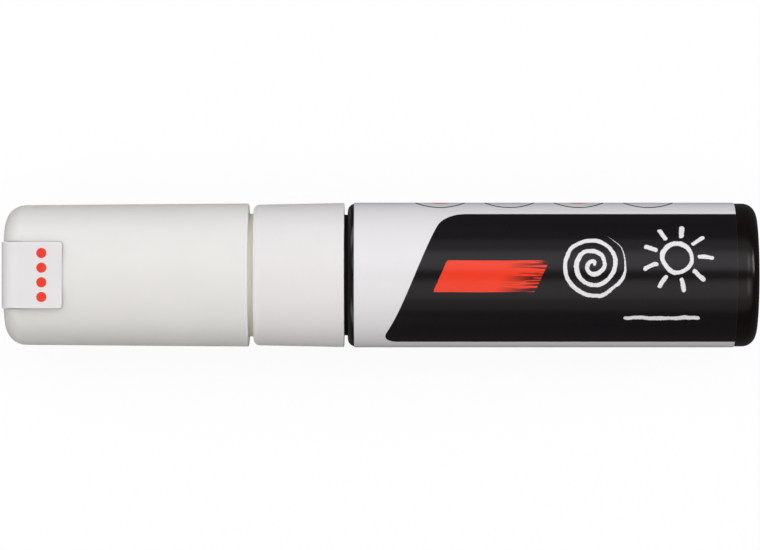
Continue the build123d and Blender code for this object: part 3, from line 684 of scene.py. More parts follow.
class FilmPrint(Finish):
    """The printed film's material and where its inks lie. A distance is negative inside its outline."""

    def __init__(self, owner, layout):
        super().__init__(owner)
        self.layout = layout
        x, y, z = self.parts(self.place())
        self.along = x - (label_front + label_rear) / 2
        self.around = self.math("ARCTAN2", y, z - axis_height) * label_radius
        drift = self.parts(self.noise(CHALK_DRIFT, output="Color"))
        self.drawn_along = self.along + drift[0].centred() * layout.chalk_wander
        self.drawn_around = self.around + drift[1].centred() * layout.chalk_wander

    def printed(self, *distances):
        """1 inside any of some outlines."""
        return self.inked(self.smallest(*distances), self.layout.edge)

    def rounded(self, past_x, past_v, corner):
        """Distance from an outline, from how far a place lies past the middles of its rounded corners."""
        outside = self.root_of_squares(self.largest(past_x, 0.0), self.largest(past_v, 0.0))
        return outside + self.smallest(self.largest(past_x, past_v), 0.0) - corner

    def bar(self, over_x, over_v, half_length, half_width, corner):
        """Distance from a bar with rounded corners, from places measured from its middle."""
        past_x = abs(over_x) - (half_length - corner)
        past_v = abs(over_v) - (half_width - corner)
        return self.rounded(past_x, past_v, corner)

    def polar(self, middle):
        """Distance from a drawing's middle and angle round it, from 0 to a full turn."""
        over_x = self.drawn_along - middle[0]
        over_v = self.drawn_around - middle[1]
        angle = self.math("ARCTAN2", over_v, over_x) + math.pi
        return self.root_of_squares(over_x, over_v), angle

    def panel(self):
        """Panel with a slanted front edge that runs off the film's rear end."""
        layout = self.layout
        corner = layout.panel_corner
        half_height = (layout.panel_top - layout.panel_bottom) / 2
        over_v = self.around - (layout.panel_top + layout.panel_bottom) / 2
        lean = layout.panel_front + over_v * layout.panel_slant - self.along
        past_front = lean * math.cos(math.atan(layout.panel_slant)) + corner
        past_side = abs(over_v) - (half_height - corner)
        return self.printed(self.rounded(past_front, past_side, corner))

    def stroke(self):
        """Broad stroke with ragged edges that runs dry towards its rear end."""
        layout = self.layout
        streak = self.noise(STROKE_STREAK, STROKE_STREAK_SHARES, FINE_DETAIL)
        half_length, half_width = layout.stroke_half
        over_v = self.around - layout.stroke_place[1]
        over_x = self.along - layout.stroke_place[0] - over_v * layout.stroke_slant
        outline = self.bar(over_x, over_v, half_length, half_width, layout.stroke_corner)
        ink = self.printed(outline + streak.centred() * layout.chalk_crumble)
        dry = self.ramp(over_x, half_length * STROKE_DRY_SHARE, half_length)
        return ink * (1 - dry * self.ramp(streak, *STROKE_STREAK_SPAN))

    def spiral(self):
        """Distance from the spiral's line."""
        layout = self.layout
        radius, angle = self.polar(layout.spiral_place)
        lane = self.math("FRACT", radius / layout.spiral_pitch - angle / (2 * math.pi))
        off_lane = abs(lane.centred()) * layout.spiral_pitch
        return self.largest(off_lane - layout.chalk_line, radius - layout.spiral_radius)

    def sun(self):
        """Distance from the lines of the sun's ring and rays."""
        layout = self.layout
        radius, angle = self.polar(layout.sun_place)
        sector = 2 * math.pi / SUN_RAY_COUNT
        turn = self.math("MODULO", angle, sector) - sector / 2
        inner, outer = layout.sun_rays
        along_ray = radius * self.math("COSINE", turn)
        across_ray = radius * self.math("SINE", turn)
        past_ray = abs(along_ray - (inner + outer) / 2) - (outer - inner) / 2
        off_ray = self.root_of_squares(self.largest(past_ray, 0.0), across_ray)
        return self.smallest(abs(radius - layout.sun_radius), off_ray) - layout.chalk_line

    def chalk(self):
        """Hand-drawn spiral, sun and line with crumbled edges and bare pits."""
        layout = self.layout
        over_x = self.drawn_along - layout.line_place[0]
        over_v = self.drawn_around - layout.line_place[1]
        line = self.bar(over_x, over_v, layout.line_half, layout.chalk_line, layout.chalk_line)
        drawn = self.smallest(self.spiral(), self.sun(), line)
        crumb = self.noise(CHALK_GRAIN, detail=FINE_DETAIL)
        pits = self.ramp(crumb, *CHALK_PIT_SPAN) * CHALK_PIT_SHARE
        return self.printed(drawn + crumb.centred() * layout.chalk_crumble) * (1 - pits)

    def rings(self):
        """Row of picture rings, and the marks in them."""
        layout = self.layout
        mark_length, mark_width = layout.mark_half
        over_v = self.around - layout.ring_row
        rings = []
        marks = []
        for index, ring in enumerate(row_of(RING_COUNT, layout.ring_spacing)):
            over_x = self.along - ring
            from_middle = self.root_of_squares(over_x, over_v)
            rings.append(abs(from_middle - layout.ring_radius) - layout.ring_line)
            if index % 2:
                marks.append(self.bar(over_x, over_v, mark_length, mark_width, mark_width / 2))
            else:
                marks.append(abs(from_middle - mark_length / 2) - mark_width)
        return self.printed(*rings), self.printed(*marks)

    def seam(self):
        """Overlap along the film's underside."""
        place = math.pi * label_radius - self.layout.seam_width
        return self.ramp(abs(self.around), place - self.layout.edge, place + self.layout.edge)

    def cut(self):
        """Cut edges at the film's ends."""
        half_film = (label_rear - label_front) / 2
        return self.ramp(abs(self.along), half_film - FILM_CUT, half_film)


def printed_film(name, colours, layout):
    """White film with a black panel, a broad stroke, chalk drawings and a row of picture rings."""
    finish = FilmPrint(bpy.data.materials.new(name), layout)
    panel = finish.panel()
    stroke = finish.stroke()
    chalk = finish.chalk()
    rings, marks = finish.rings()
    seam = finish.seam()
    cut = finish.cut()
    tone = finish.noise(FILM_TONE)
    ground = finish.mix(tone, shade(colours.film, FILM_TONE_SHARE), colours.film)
    for ink, colour in (
        (seam * SEAM_SHARE, shade(colours.film, SEAM_SHADE_SHARE)),
        (rings, colours.panel),
        (marks, colours.accent),
        (panel, colours.panel),
        (chalk, colours.film),
        (stroke, colours.accent),
        (cut * FILM_CUT_SHARE, colours.film),
    ):
        ground = finish.mix(ink, ground, colour)
    ripple = finish.noise(FILM_RIPPLE, FILM_RIPPLE_SHARES)
    return finish.surface(
        Base_Color=ground,
        Roughness=FILM_ROUGHNESS + tone.centred() * FILM_TONE_ROUGH + chalk * CHALK_ROUGH,
        Specular_IOR_Level=GLOSS_SPECULAR,
        Normal=finish.bump(ripple - seam * SEAM_STEP_SHARE, FILM_RIPPLE_HEIGHT),
    )


def soften(shape, geometry, radius, segments=FINE_SEGMENTS, affect="EDGES"):
    """Round some edges or corners of a bmesh."""
    bmesh.ops.bevel(
        shape, geom=geometry, offset=radius, offset_type="OFFSET", segments=segments,
        profile=ROUND_PROFILE, affect=affect, material=-1,
    )


def turned(outline, roundings, steps, open_ends=()):
    """Bmesh of an outline of (x, radius) points turned round the marker's axis, some corners rounded first.

    Sides that lie on the axis are left out, and so are those that reach it at an open end.
    """
    shape = bmesh.new()
    corners = {point: shape.verts.new((point[0], 0, point[1])) for point in outline}
    shape.faces.new(list(corners.values()))
    for point, radius in roundings:
        segments = ROUND_SEGMENTS if radius > FINE_ROUND else FINE_SEGMENTS
        soften(shape, [corners[point]], radius, segments, "VERTICES")
    bmesh.ops.delete(shape, geom=shape.faces[:], context="FACES_ONLY")
    unwanted = []
    for edge in shape.edges:
        on_axis = [vert for vert in edge.verts if vert.co.z < WELD]
        at_open_end = any(abs(vert.co.x - x) < WELD for vert in on_axis for x in open_ends)
        if len(on_axis) == 2 or at_open_end:
            unwanted.append(edge)
    bmesh.ops.delete(shape, geom=unwanted, context="EDGES")
    bmesh.ops.spin(
        shape, geom=shape.verts[:] + shape.edges[:], cent=(0, 0, 0), axis=(1, 0, 0),
        angle=2 * math.pi, steps=steps, use_merge=True, use_duplicate=False,
    )
    bmesh.ops.translate(shape, verts=shape.verts[:], vec=(0, 0, axis_height))
    clean(shape)
    return shape


def clean(shape):
    """Close seams and poles and point the faces outwards."""
    bmesh.ops.remove_doubles(shape, verts=shape.verts[:], dist=WELD)
    bmesh.ops.dissolve_degenerate(shape, edges=shape.edges[:], dist=WELD)
    bmesh.ops.recalc_face_normals(shape, faces=shape.faces[:])


def block(low, high):
    """Bmesh box between two corners."""
    shape = bmesh.new()
    bmesh.ops.create_cube(shape, size=1.0)
    size = Vector(high) - Vector(low)
    bmesh.ops.scale(shape, verts=shape.verts[:], vec=size)
    bmesh.ops.translate(shape, verts=shape.verts[:], vec=Vector(low) + size / 2)
    return shape


def bead(middle, radius, height, width):
    """Points of a low bead on a cylinder, from its rear foot to its front foot."""
    foot = width / 2
    crest = foot - height
    return [
        (middle + foot, radius),
        (middle + crest, radius + height),
        (middle - crest, radius + height),
        (middle - foot, radius),
    ]


def object_from(shape, name):
    """Scene object made from a bmesh."""
    mesh = bpy.data.meshes.new(name)
    shape.to_mesh(mesh)
    shape.free()
    made = bpy.data.objects.new(name, mesh)
    bpy.context.scene.collection.objects.link(made)
    return made


def combine(shape, other, operation):
    """Bmesh of two closed shapes added, cut or kept where both are."""
    body = object_from(shape, "body")
    tool = object_from(other, "tool")
    cut = body.modifiers.new("Combine", "BOOLEAN")
    cut.operation = operation
    cut.solver = "EXACT"
    cut.object = tool
    graph = bpy.context.evaluated_depsgraph_get()
    result = bmesh.new()
    result.from_mesh(body.evaluated_get(graph).to_mesh())
    for used in (body, tool):
        mesh = used.data
        bpy.data.objects.remove(used)
        bpy.data.meshes.remove(mesh)
    return result


def add_piece(name, shape, body, node, material):
    """Finish a bmesh as a smooth piece that rides on a body and stands for a node."""
    for face in shape.faces:
        face.smooth = True
    piece = object_from(shape, name)
    piece.data.set_sharp_from_angle(angle=SHARP_ANGLE)
    piece.data.materials.append(material)
    normals = piece.modifiers.new("Even shading", "WEIGHTED_NORMAL")
    normals.keep_sharp = True
    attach(piece, body)
    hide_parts(node)
    return piece


class MARKER_OT_barrel(bpy.types.Operator):
    """Make the black bottle with its neck, rounded shoulder and hollowed tail"""

    bl_idname = "marker.barrel"
    bl_label = "Barrel"

    def execute(self, context):
        sizes = context.scene.marker_sizes
        reservoir_front = shoulder + SHOULDER_WALL
        reservoir_rear = tail_end - TAIL_WALL
        reservoir_radius = barrel_radius - BARREL_WALL
        neck_bore = NECK_RADIUS - NECK_WALL
        dish_floor = tail_end - sizes.dish_depth
        gate_floor = dish_floor - sizes.gate_depth
        bend = (dish_floor, (sizes.dish_radius + sizes.gate_radius) / 2)
        ring = bead(neck_ring, NECK_RADIUS, NECK_RING_HEIGHT, NECK_RING_WIDTH)
        outline = [
            (neck_mouth, neck_bore),
            (neck_mouth, NECK_RADIUS),
            *reversed(ring),
            (shoulder, NECK_RADIUS),
            (shoulder, barrel_radius),
            (tail_end, barrel_radius),
            (tail_end, sizes.dish_radius),
            bend,
            (dish_floor, sizes.gate_radius),
            (gate_floor, sizes.gate_radius),
            (gate_floor, 0),
            (reservoir_rear, 0),
            (reservoir_rear, reservoir_radius),
            (reservoir_front, reservoir_radius),
            (reservoir_front, neck_bore),
        ]
        roundings = [
            ((shoulder, barrel_radius), sizes.shoulder_edge),
            ((tail_end, barrel_radius), sizes.tail_edge),
            ((tail_end, sizes.dish_radius), DISH_EDGE),
            (bend, sizes.dish_radius * DISH_BEND_SHARE),
            ((reservoir_rear, reservoir_radius), RESERVOIR_CORNER),
            ((reservoir_front, reservoir_radius), RESERVOIR_CORNER),
        ]
        shape = turned(outline, roundings, sizes.turn_steps)
        material = gloss_black("gloss_black", context.scene.marker_colours.barrel)
        add_piece("bottle", shape, "barrel", "barrel", material)
        return {"FINISHED"}


class MARKER_OT_film(bpy.types.Operator):
    """Make the printed film round the barrel"""

    bl_idname = "marker.film"
    bl_label = "Printed film"

    def execute(self, context):
        sizes = context.scene.marker_sizes
        inside = label_radius - LABEL_THICKNESS
        outline = [
            (label_front, inside),
            (label_front, label_radius),
            (label_rear, label_radius),
            (label_rear, inside),
        ]
        roundings = [
            ((label_front, label_radius), sizes.film_edge),
            ((label_rear, label_radius), sizes.film_edge),
        ]
        shape = turned(outline, roundings, sizes.turn_steps)
        material = printed_film("printed_film", context.scene.marker_colours, context.scene.marker_print)
        add_piece("film", shape, "barrel", "label_sleeve", material)
        return {"FINISHED"}


class MARKER_OT_holder(bpy.types.Operator):
    """Make the collar, the cap's seat and the nose with the nib's slot"""

    bl_idname = "marker.holder"
    bl_label = "Collar and nose"

    def execute(self, context):
        sizes = context.scene.marker_sizes
        collar_front_radius = collar_radius - COLLAR_TAPER
        seat_front = collar_front - SEAT_LENGTH
        land_rear = seat_front - SEAT_STEP_LENGTH
        land_front = land_rear - LAND_LENGTH
        land_bore = LAND_RADIUS - NOSE_WALL
        chamber_radius = SEAT_RADIUS - NOSE_WALL
        valve_face = collar_front + COLLAR_FRONT_WALL
        slot_rear = nose_tip + NIB_GUIDE_LENGTH
        bead_middle = collar_front - SNAP_BEAD_SETBACK
        groove = bead(neck_ring, COLLAR_BORE, NECK_RING_HEIGHT, NECK_RING_WIDTH)
        outline = [
            (collar_rear, COLLAR_BORE),
            (collar_rear, collar_radius),
            (collar_front, collar_front_radius),
            (collar_front, SEAT_RADIUS),
            *bead(bead_middle, SEAT_RADIUS, SNAP_BEAD_HEIGHT, SNAP_BEAD_WIDTH),
            (seat_front, SEAT_RADIUS),
            (land_rear, LAND_RADIUS),
            (land_front, LAND_RADIUS),
            (nose_tip, NOSE_TIP_RADIUS),
            (nose_tip, 0),
            (slot_rear, 0),
            (slot_rear, land_bore),
            (land_rear, land_bore),
            (seat_front, chamber_radius),
            (valve_face, chamber_radius),
            (valve_face, COLLAR_BORE),
            *reversed(groove),
        ]
        roundings = [
            ((collar_front, collar_front_radius), sizes.collar_edge),
            ((collar_rear, collar_radius), sizes.collar_rear_edge),
            ((nose_tip, NOSE_TIP_RADIUS), sizes.nose_edge),
        ]
        shape = turned(outline, roundings, sizes.turn_steps, open_ends=(nose_tip, slot_rear))
        self.line_slot(shape, slot_rear, sizes)
        clean(shape)
        fin_rear = nib_rear - NIB_FIN_SETBACK
        fin_front = fin_rear - NIB_FIN_LENGTH
        fin_feet = [
            (fin_rear, 0),
            (fin_rear, chamber_radius + FIN_ROOT),
            (seat_front, chamber_radius + FIN_ROOT),
            (land_rear, land_bore + FIN_ROOT),
            (fin_front, land_bore + FIN_ROOT),
            (fin_front, 0),
        ]
        chamber = turned(fin_feet, (), sizes.turn_steps)
        fins = combine(self.crossed_bars(fin_front, fin_rear), chamber, "INTERSECT")
        shape = combine(shape, fins, "UNION")
        clean(shape)
        material = collar_plastic("satin_white_collar", context.scene.marker_colours)
        add_piece("collar_and_nose", shape, "barrel", "front_holder", material)
        return {"FINISHED"}

    def crossed_bars(self, front, rear):
        """Bmesh of a cross of bars along the chamber with the nib's way cut out of its middle."""
        half = NIB_FIN_WIDTH / 2

        def bar(half_width, half_height, length_past):
            return block(
                (front - length_past, -half_width, axis_height - half_height),
                (rear + length_past, half_width, axis_height + half_height),
            )

        level = bar(collar_radius, half, CUT_OVERRUN)
        upright = bar(half, collar_radius, CUT_OVERRUN)
        nib_way = bar(slot_half_width, slot_half_thickness, 2 * CUT_OVERRUN)
        return combine(combine(level, upright, "UNION"), nib_way, "DIFFERENCE")

    def line_slot(self, shape, slot_rear, sizes):
        """Wall of the nib's slot between the nose's open ends, with a softened mouth."""
        rims = [edge for edge in shape.edges if edge.is_boundary]
        grid = bmesh.ops.create_grid(shape, x_segments=1, y_segments=1, size=1)
        upright = Matrix.Rotation(math.pi / 2, 3, "Y")
        bmesh.ops.rotate(shape, verts=grid["verts"], cent=(0, 0, 0), matrix=upright)
        bmesh.ops.scale(shape, verts=grid["verts"], vec=(1, slot_half_width, slot_half_thickness))
        bmesh.ops.translate(shape, verts=grid["verts"], vec=(nose_tip, 0, axis_height))
        soften(shape, grid["verts"], sizes.slot_corner, affect="VERTICES")
        mouth = [face for face in shape.faces if all(edge.is_boundary for edge in face.edges)]
        front_loop = [edge for face in mouth for edge in face.edges]
        tube = bmesh.ops.extrude_edge_only(shape, edges=front_loop)
        rear_verts = [item for item in tube["geom"] if isinstance(item, bmesh.types.BMVert)]
        tube_edges = [item for item in tube["geom"] if isinstance(item, bmesh.types.BMEdge)]
        rear_loop = [edge for edge in tube_edges if edge.is_boundary]
        bmesh.ops.translate(shape, verts=rear_verts, vec=(slot_rear - nose_tip, 0, 0))
        bmesh.ops.delete(shape, geom=mouth, context="FACES_ONLY")
        middle = (nose_tip + slot_rear) / 2
        front_rim = [edge for edge in rims if edge.verts[0].co.x < middle]
        rear_rim = [edge for edge in rims if edge.verts[0].co.x > middle]
        bmesh.ops.bridge_loops(shape, edges=front_rim + front_loop)
        bmesh.ops.bridge_loops(shape, edges=rear_rim + rear_loop)
        soften(shape, front_loop, sizes.slot_mouth)


class MARKER_OT_nib(bpy.types.Operator):
    """Make the felt nib with its slanted chisel end"""

    bl_idname = "marker.nib"
    bl_label = "Nib"

    def execute(self, context):
        sizes = context.scene.marker_sizes
        shape = block(nib_low, nib_high)
        flat = (nib_high.z - nib_low.z) / 2
        slope = flat * (1 - NIB_EDGE_SHARE) / NIB_TAPER_LENGTH
        slant = NIB_SLANT / (2 * nib_side)
        cuts = [
            ((nib_tip, -nib_side, axis_height), (-1, slant, 0)),
            ((nib_tip + NIB_TAPER_LENGTH, 0, axis_height + flat), (-slope, 0, 1)),
            ((nib_tip + NIB_TAPER_LENGTH, 0, axis_height - flat), (-slope, 0, -1)),
        ]
        for place, outward in cuts:
            geometry = shape.verts[:] + shape.edges[:] + shape.faces[:]
            bmesh.ops.bisect_plane(shape, geom=geometry, plane_co=place, plane_no=outward, clear_outer=True)
            open_edges = [edge for edge in shape.edges if edge.is_boundary]
            bmesh.ops.holes_fill(shape, edges=open_edges)
        clean(shape)
        soft = [edge for edge in shape.edges if min(vert.co.x for vert in edge.verts) < nib_rear - WELD]
        soften(shape, soft, sizes.nib_edge)
        bmesh.ops.triangulate(shape, faces=[face for face in shape.faces if len(face.verts) > 4])
        long_edges = [edge for edge in shape.edges if edge.calc_length() > NIB_LONG_EDGE]
        bmesh.ops.subdivide_edges(shape, edges=long_edges, cuts=NIB_CUTS, use_grid_fill=True)
        clean(shape)
        shape.normal_update()
        for vert in shape.verts:
            fibre_place = Vector((vert.co.x * NIB_FIBRE_SHARE, vert.co.y, vert.co.z)) / NIB_FIBRE
            vert.co -= vert.normal * sizes.nib_fuzz * (1 + noise.noise(fibre_place)) / 2
        material = felt("bonded_felt", context.scene.marker_colours.felt)
        add_piece("felt_nib", shape, "nib", "nib", material)
        return {"FINISHED"}


def cap_radius_at(x, wall=0.0):
    """Radius of the drafted cap at a place along it, less a wall."""
    share = (cap_rim - x) / (cap_rim - cap_end)
    return cap_radius - CAP_DRAFT * share - wall


def edges_at(shape, low, high):
    """Edges of a bmesh that lie between two corners of a box."""

    def inside(place):
        return all(low[axis] - WELD < place[axis] < high[axis] + WELD for axis in range(3))

    return [edge for edge in shape.edges if all(inside(vert.co) for vert in edge.verts)]


def tab_block(length, bottom, play, sizes):
    """Bmesh block as wide as the tab and its play, with the tab's bend in side view."""
    low = (tab_low.x, tab_low.y - play, bottom)
    high = (tab_low.x + length, tab_high.y + play, tab_high.z)
    shape = block(low, high)
    bend = edges_at(shape, (low[0], low[1], high[2]), (low[0], high[1], high[2]))
    soften(shape, bend, sizes.tab_bend, 2 * ROUND_SEGMENTS)
    return shape


def tab_plan(bottom, play, sizes):
    """Bmesh of the tab's block with rounded rear corners, grown by the play round it."""
    length = TAB_LENGTH + play
    shape = tab_block(length, bottom, play, sizes)
    rear = tab_low.x + length
    rear_face = edges_at(shape, (rear, tab_low.y - play, bottom), (rear, tab_high.y + play, tab_high.z))
    corners = [edge for edge in rear_face if edge.verts[0].co.y == edge.verts[1].co.y]
    soften(shape, corners, sizes.tab_corner + play, ROUND_SEGMENTS)
    return shape


def tab_floor(sizes):
    """Bmesh of the cap's outside lowered by the depth of the tab's seat."""
    front = cap_end + TAB_RECESS
    rear = tab_high.x + CUT_OVERRUN
    outline = [
        (front, 0),
        (front, cap_radius_at(cap_end, TAB_RECESS)),
        (rear, cap_radius_at(rear, TAB_RECESS)),
        (rear, 0),
    ]
    return turned(outline, [(outline[1], sizes.cap_corner - TAB_RECESS)], sizes.turn_steps)


class MARKER_OT_cap(bpy.types.Operator):
    """Make the cap with the tab's seat, its snap groove and the ribs inside"""

    bl_idname = "marker.cap"
    bl_label = "Cap"

    def execute(self, context):
        sizes = context.scene.marker_sizes
        floor = cap_end + CAP_END_WALL
        groove_middle = collar_front - SNAP_BEAD_SETBACK
        groove = bead(
            groove_middle,
            cap_radius_at(groove_middle, CAP_WALL),
            SNAP_BEAD_HEIGHT + SNAP_GROOVE_PLAY,
            SNAP_BEAD_WIDTH + SNAP_GROOVE_PLAY,
        )
        rib_rear = cup_mouth - CUP_FLANGE_LENGTH
        rib_front = floor + sizes.cap_corner - CAP_WALL
        outline = [
            (cap_end, 0),
            (cap_end, cap_radius_at(cap_end)),
            (cap_rim, cap_radius),
            (cap_rim, cap_radius - CAP_WALL),
            *groove,
            (rib_rear, cap_radius_at(rib_rear, CAP_WALL)),
            (rib_front, cap_radius_at(rib_front, CAP_WALL)),
            (floor, cap_radius_at(floor, CAP_WALL)),
            (floor, 0),
        ]
        roundings = [
            (outline[1], sizes.cap_corner),
            (outline[2], sizes.cap_rim_edge),
            (outline[3], CAP_MOUTH_EDGE),
            (outline[-2], (rib_front - floor) * CAP_FLOOR_ROUND_SHARE),
        ]
        shape = turned(outline, roundings, sizes.turn_steps)
        self.raise_ribs(shape, rib_front, rib_rear, sizes.turn_steps)
        below = axis_height - cap_radius - CUT_OVERRUN
        leg_length = cap_end - tab_low.x + sizes.cap_corner + TAB_LEG_OVERRUN
        leg_seat = tab_block(leg_length, below, TAB_LEG_FIT, sizes)
        seat = combine(tab_plan(axis_height, TAB_FIT, sizes), leg_seat, "UNION")
        seat = combine(seat, tab_floor(sizes), "DIFFERENCE")
        hole_radius = STUD_RADIUS + PUSH_FIT
        hole = [
            (cap_end - CUT_OVERRUN, 0),
            (cap_end - CUT_OVERRUN, hole_radius),
            (floor + CUT_OVERRUN, hole_radius),
            (floor + CUT_OVERRUN, 0),
        ]
        for cutter in (seat, turned(hole, (), sizes.turn_steps)):
            shape = combine(shape, cutter, "DIFFERENCE")
        clean(shape)
        material = cap_plastic("satin_white_cap", context.scene.marker_colours)
        add_piece("cap_moulding", shape, "cap", "cap_shell", material)
        return {"FINISHED"}

    def raise_ribs(self, shape, rib_front, rib_rear, steps):
        """Draw ribs out of the bore, each a few steps of the spin wide."""
        step_angle = 2 * math.pi / steps
        half_width = CAP_RIB_STEPS / 2 * step_angle
        spacing = 2 * math.pi / CAP_RIB_COUNT
        feet = []
        for face in shape.faces:
            middle = face.calc_center_median()
            out = math.hypot(middle.y, middle.z - axis_height)
            angle = math.atan2(middle.y, middle.z - axis_height)
            off_rib = abs((angle % spacing) - spacing / 2)
            in_bore = rib_front < middle.x < rib_rear and out < cap_radius_at(middle.x, CAP_WALL / 2)
            if in_bore and off_rib < half_width:
                feet.append(face)
        drawn = bmesh.ops.extrude_face_region(shape, geom=feet)
        bmesh.ops.delete(shape, geom=feet, context="FACES")
        for item in drawn["geom"]:
            if isinstance(item, bmesh.types.BMVert):
                inward = (CUP_RADIUS + PUSH_FIT) / math.hypot(item.co.y, item.co.z - axis_height)
                item.co.y *= inward
                item.co.z = axis_height + (item.co.z - axis_height) * inward


class MARKER_OT_tab(bpy.types.Operator):
    """Make the L-shaped tab let into the cap, with its headed stud"""

    bl_idname = "marker.tab"
    bl_label = "Tab"

    def execute(self, context):
        sizes = context.scene.marker_sizes
        plate = tab_plan(tab_low.z, 0.0, sizes)
        plate.normal_update()
        sharp = [edge for edge in plate.edges if edge.calc_face_angle() > SHARP_ANGLE]
        soften(plate, sharp, sizes.tab_edge)
        plate = combine(plate, tab_floor(sizes), "DIFFERENCE")
        inside = cap_end + TAB_RECESS
        head_front = cap_end + CAP_END_WALL + STUD_GAP
        head_rear = head_front + STUD_HEAD_LENGTH
        outline = [
            (inside - TAB_RECESS / 2, 0),
            (inside - TAB_RECESS / 2, STUD_RADIUS),
            (head_front, STUD_RADIUS),
            (head_front, STUD_HEAD_RADIUS),
            (head_rear, STUD_HEAD_RADIUS),
            (head_rear, 0),
        ]
        shape = combine(plate, turned(outline, [(outline[4], STUD_EDGE)], sizes.turn_steps), "UNION")
        clean(shape)
        material = printed_tab("gloss_white_tab", context.scene.marker_colours, context.scene.marker_print)
        add_piece("tab_plate", shape, "cap", "cap_tab", material)
        return {"FINISHED"}


class MARKER_OT_cup(bpy.types.Operator):
    """Make the soft cup that seals on the nose"""

    bl_idname = "marker.cup"
    bl_label = "Sealing cup"

    def execute(self, context):
        sizes = context.scene.marker_sizes
        flange = cup_mouth - CUP_FLANGE_LENGTH
        bore = CUP_RADIUS - CUP_WALL
        floor = cup_end + CUP_END_WALL
        outline = [
            (cup_end, 0),
            (cup_end, CUP_RADIUS),
            (flange, CUP_RADIUS),
            (flange, cup_flange_radius),
            (cup_mouth, cup_flange_radius),
            (cup_mouth, bore),
            (floor, bore),
            (floor, 0),
        ]
        roundings = [
            (outline[1], CUP_WALL),
            (outline[3], CUP_FLANGE_EDGE),
            (outline[4], CUP_FLANGE_EDGE),
            (outline[5], CUP_MOUTH_EDGE),
            (outline[6], CUP_FLOOR_CORNER),
        ]
        shape = turned(outline, roundings, sizes.turn_steps)
        material = natural_plastic("natural_cup", context.scene.marker_colours.natural)
        add_piece("sealing_cup", shape, "cap", "inner_cap", material)
        return {"FINISHED"}


class MARKER_OT_spring(bpy.types.Operator):
    """Wind the valve spring with closed ends"""

    bl_idname = "marker.spring"
    bl_label = "Valve spring"

    def execute(self, context):
        wire = SPRING_WIRE / 2
        radius = spring_outside - wire
        closed_pitch = SPRING_WIRE + SPRING_CLOSED_GAP
        open_turns = SPRING_TURNS - 2 * SPRING_CLOSED_TURNS
        run = spring_rear - spring_front - 2 * wire
        open_pitch = (run - 2 * SPRING_CLOSED_TURNS * closed_pitch) / open_turns
        shape = bmesh.new()
        ring = bmesh.ops.create_circle(shape, cap_ends=True, segments=WIRE_SEGMENTS, radius=wire)
        upright = Matrix.Rotation(math.pi / 2, 3, "X")
        bmesh.ops.rotate(shape, verts=ring["verts"], cent=(0, 0, 0), matrix=upright)
        bmesh.ops.translate(shape, verts=ring["verts"], vec=(spring_front + wire, 0, axis_height + radius))
        section = shape.faces[:]
        windings = [
            (SPRING_CLOSED_TURNS, closed_pitch),
            (open_turns, open_pitch),
            (SPRING_CLOSED_TURNS, closed_pitch),
        ]
        geometry = section + section[0].edges[:] + section[0].verts[:]
        for turns, pitch in windings:
            wound = bmesh.ops.spin(
                shape, geom=geometry, cent=(0, 0, axis_height), axis=(1, 0, 0),
                dvec=(pitch / COIL_STEPS, 0, 0), angle=2 * math.pi * turns, steps=COIL_STEPS * turns,
                use_merge=False, use_duplicate=False,
            )
            geometry = wound["geom_last"]
        clean(shape)
        material = drawn_steel("drawn_wire", context.scene.marker_colours.steel, *WIRE_GLOSS)
        piece = add_piece("spring_wire", shape, "barrel", "valve_spring", material)
        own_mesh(piece)
        return {"FINISHED"}


class MARKER_OT_valve(bpy.types.Operator):
    """Dress the valve's plastic pieces"""

    bl_idname = "marker.valve"
    bl_label = "Valve"

    def execute(self, context):
        natural = natural_plastic("natural_valve", context.scene.marker_colours.natural)
        for node in ("valve_housing", "valve_stem", "valve_cage"):
            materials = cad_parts[node].data.materials
            materials.clear()
            materials.append(natural)
        return {"FINISHED"}


class MARKER_OT_balls(bpy.types.Operator):
    """Make the two steel balls that stir the ink"""

    bl_idname = "marker.balls"
    bl_label = "Mixing balls"

    def execute(self, context):
        polished = drawn_steel("polished_ball", context.scene.marker_colours.steel, *BALL_GLOSS)
        for node in ("mixing_ball_a", "mixing_ball_b"):
            low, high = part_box(node)
            shape = bmesh.new()
            bmesh.ops.create_icosphere(shape, subdivisions=BALL_SUBDIVISIONS, radius=(high.z - low.z) / 2)
            bmesh.ops.translate(shape, verts=shape.verts[:], vec=(low + high) / 2)
            add_piece(node.replace("mixing", "steel"), shape, node, node, polished)
        return {"FINISHED"}


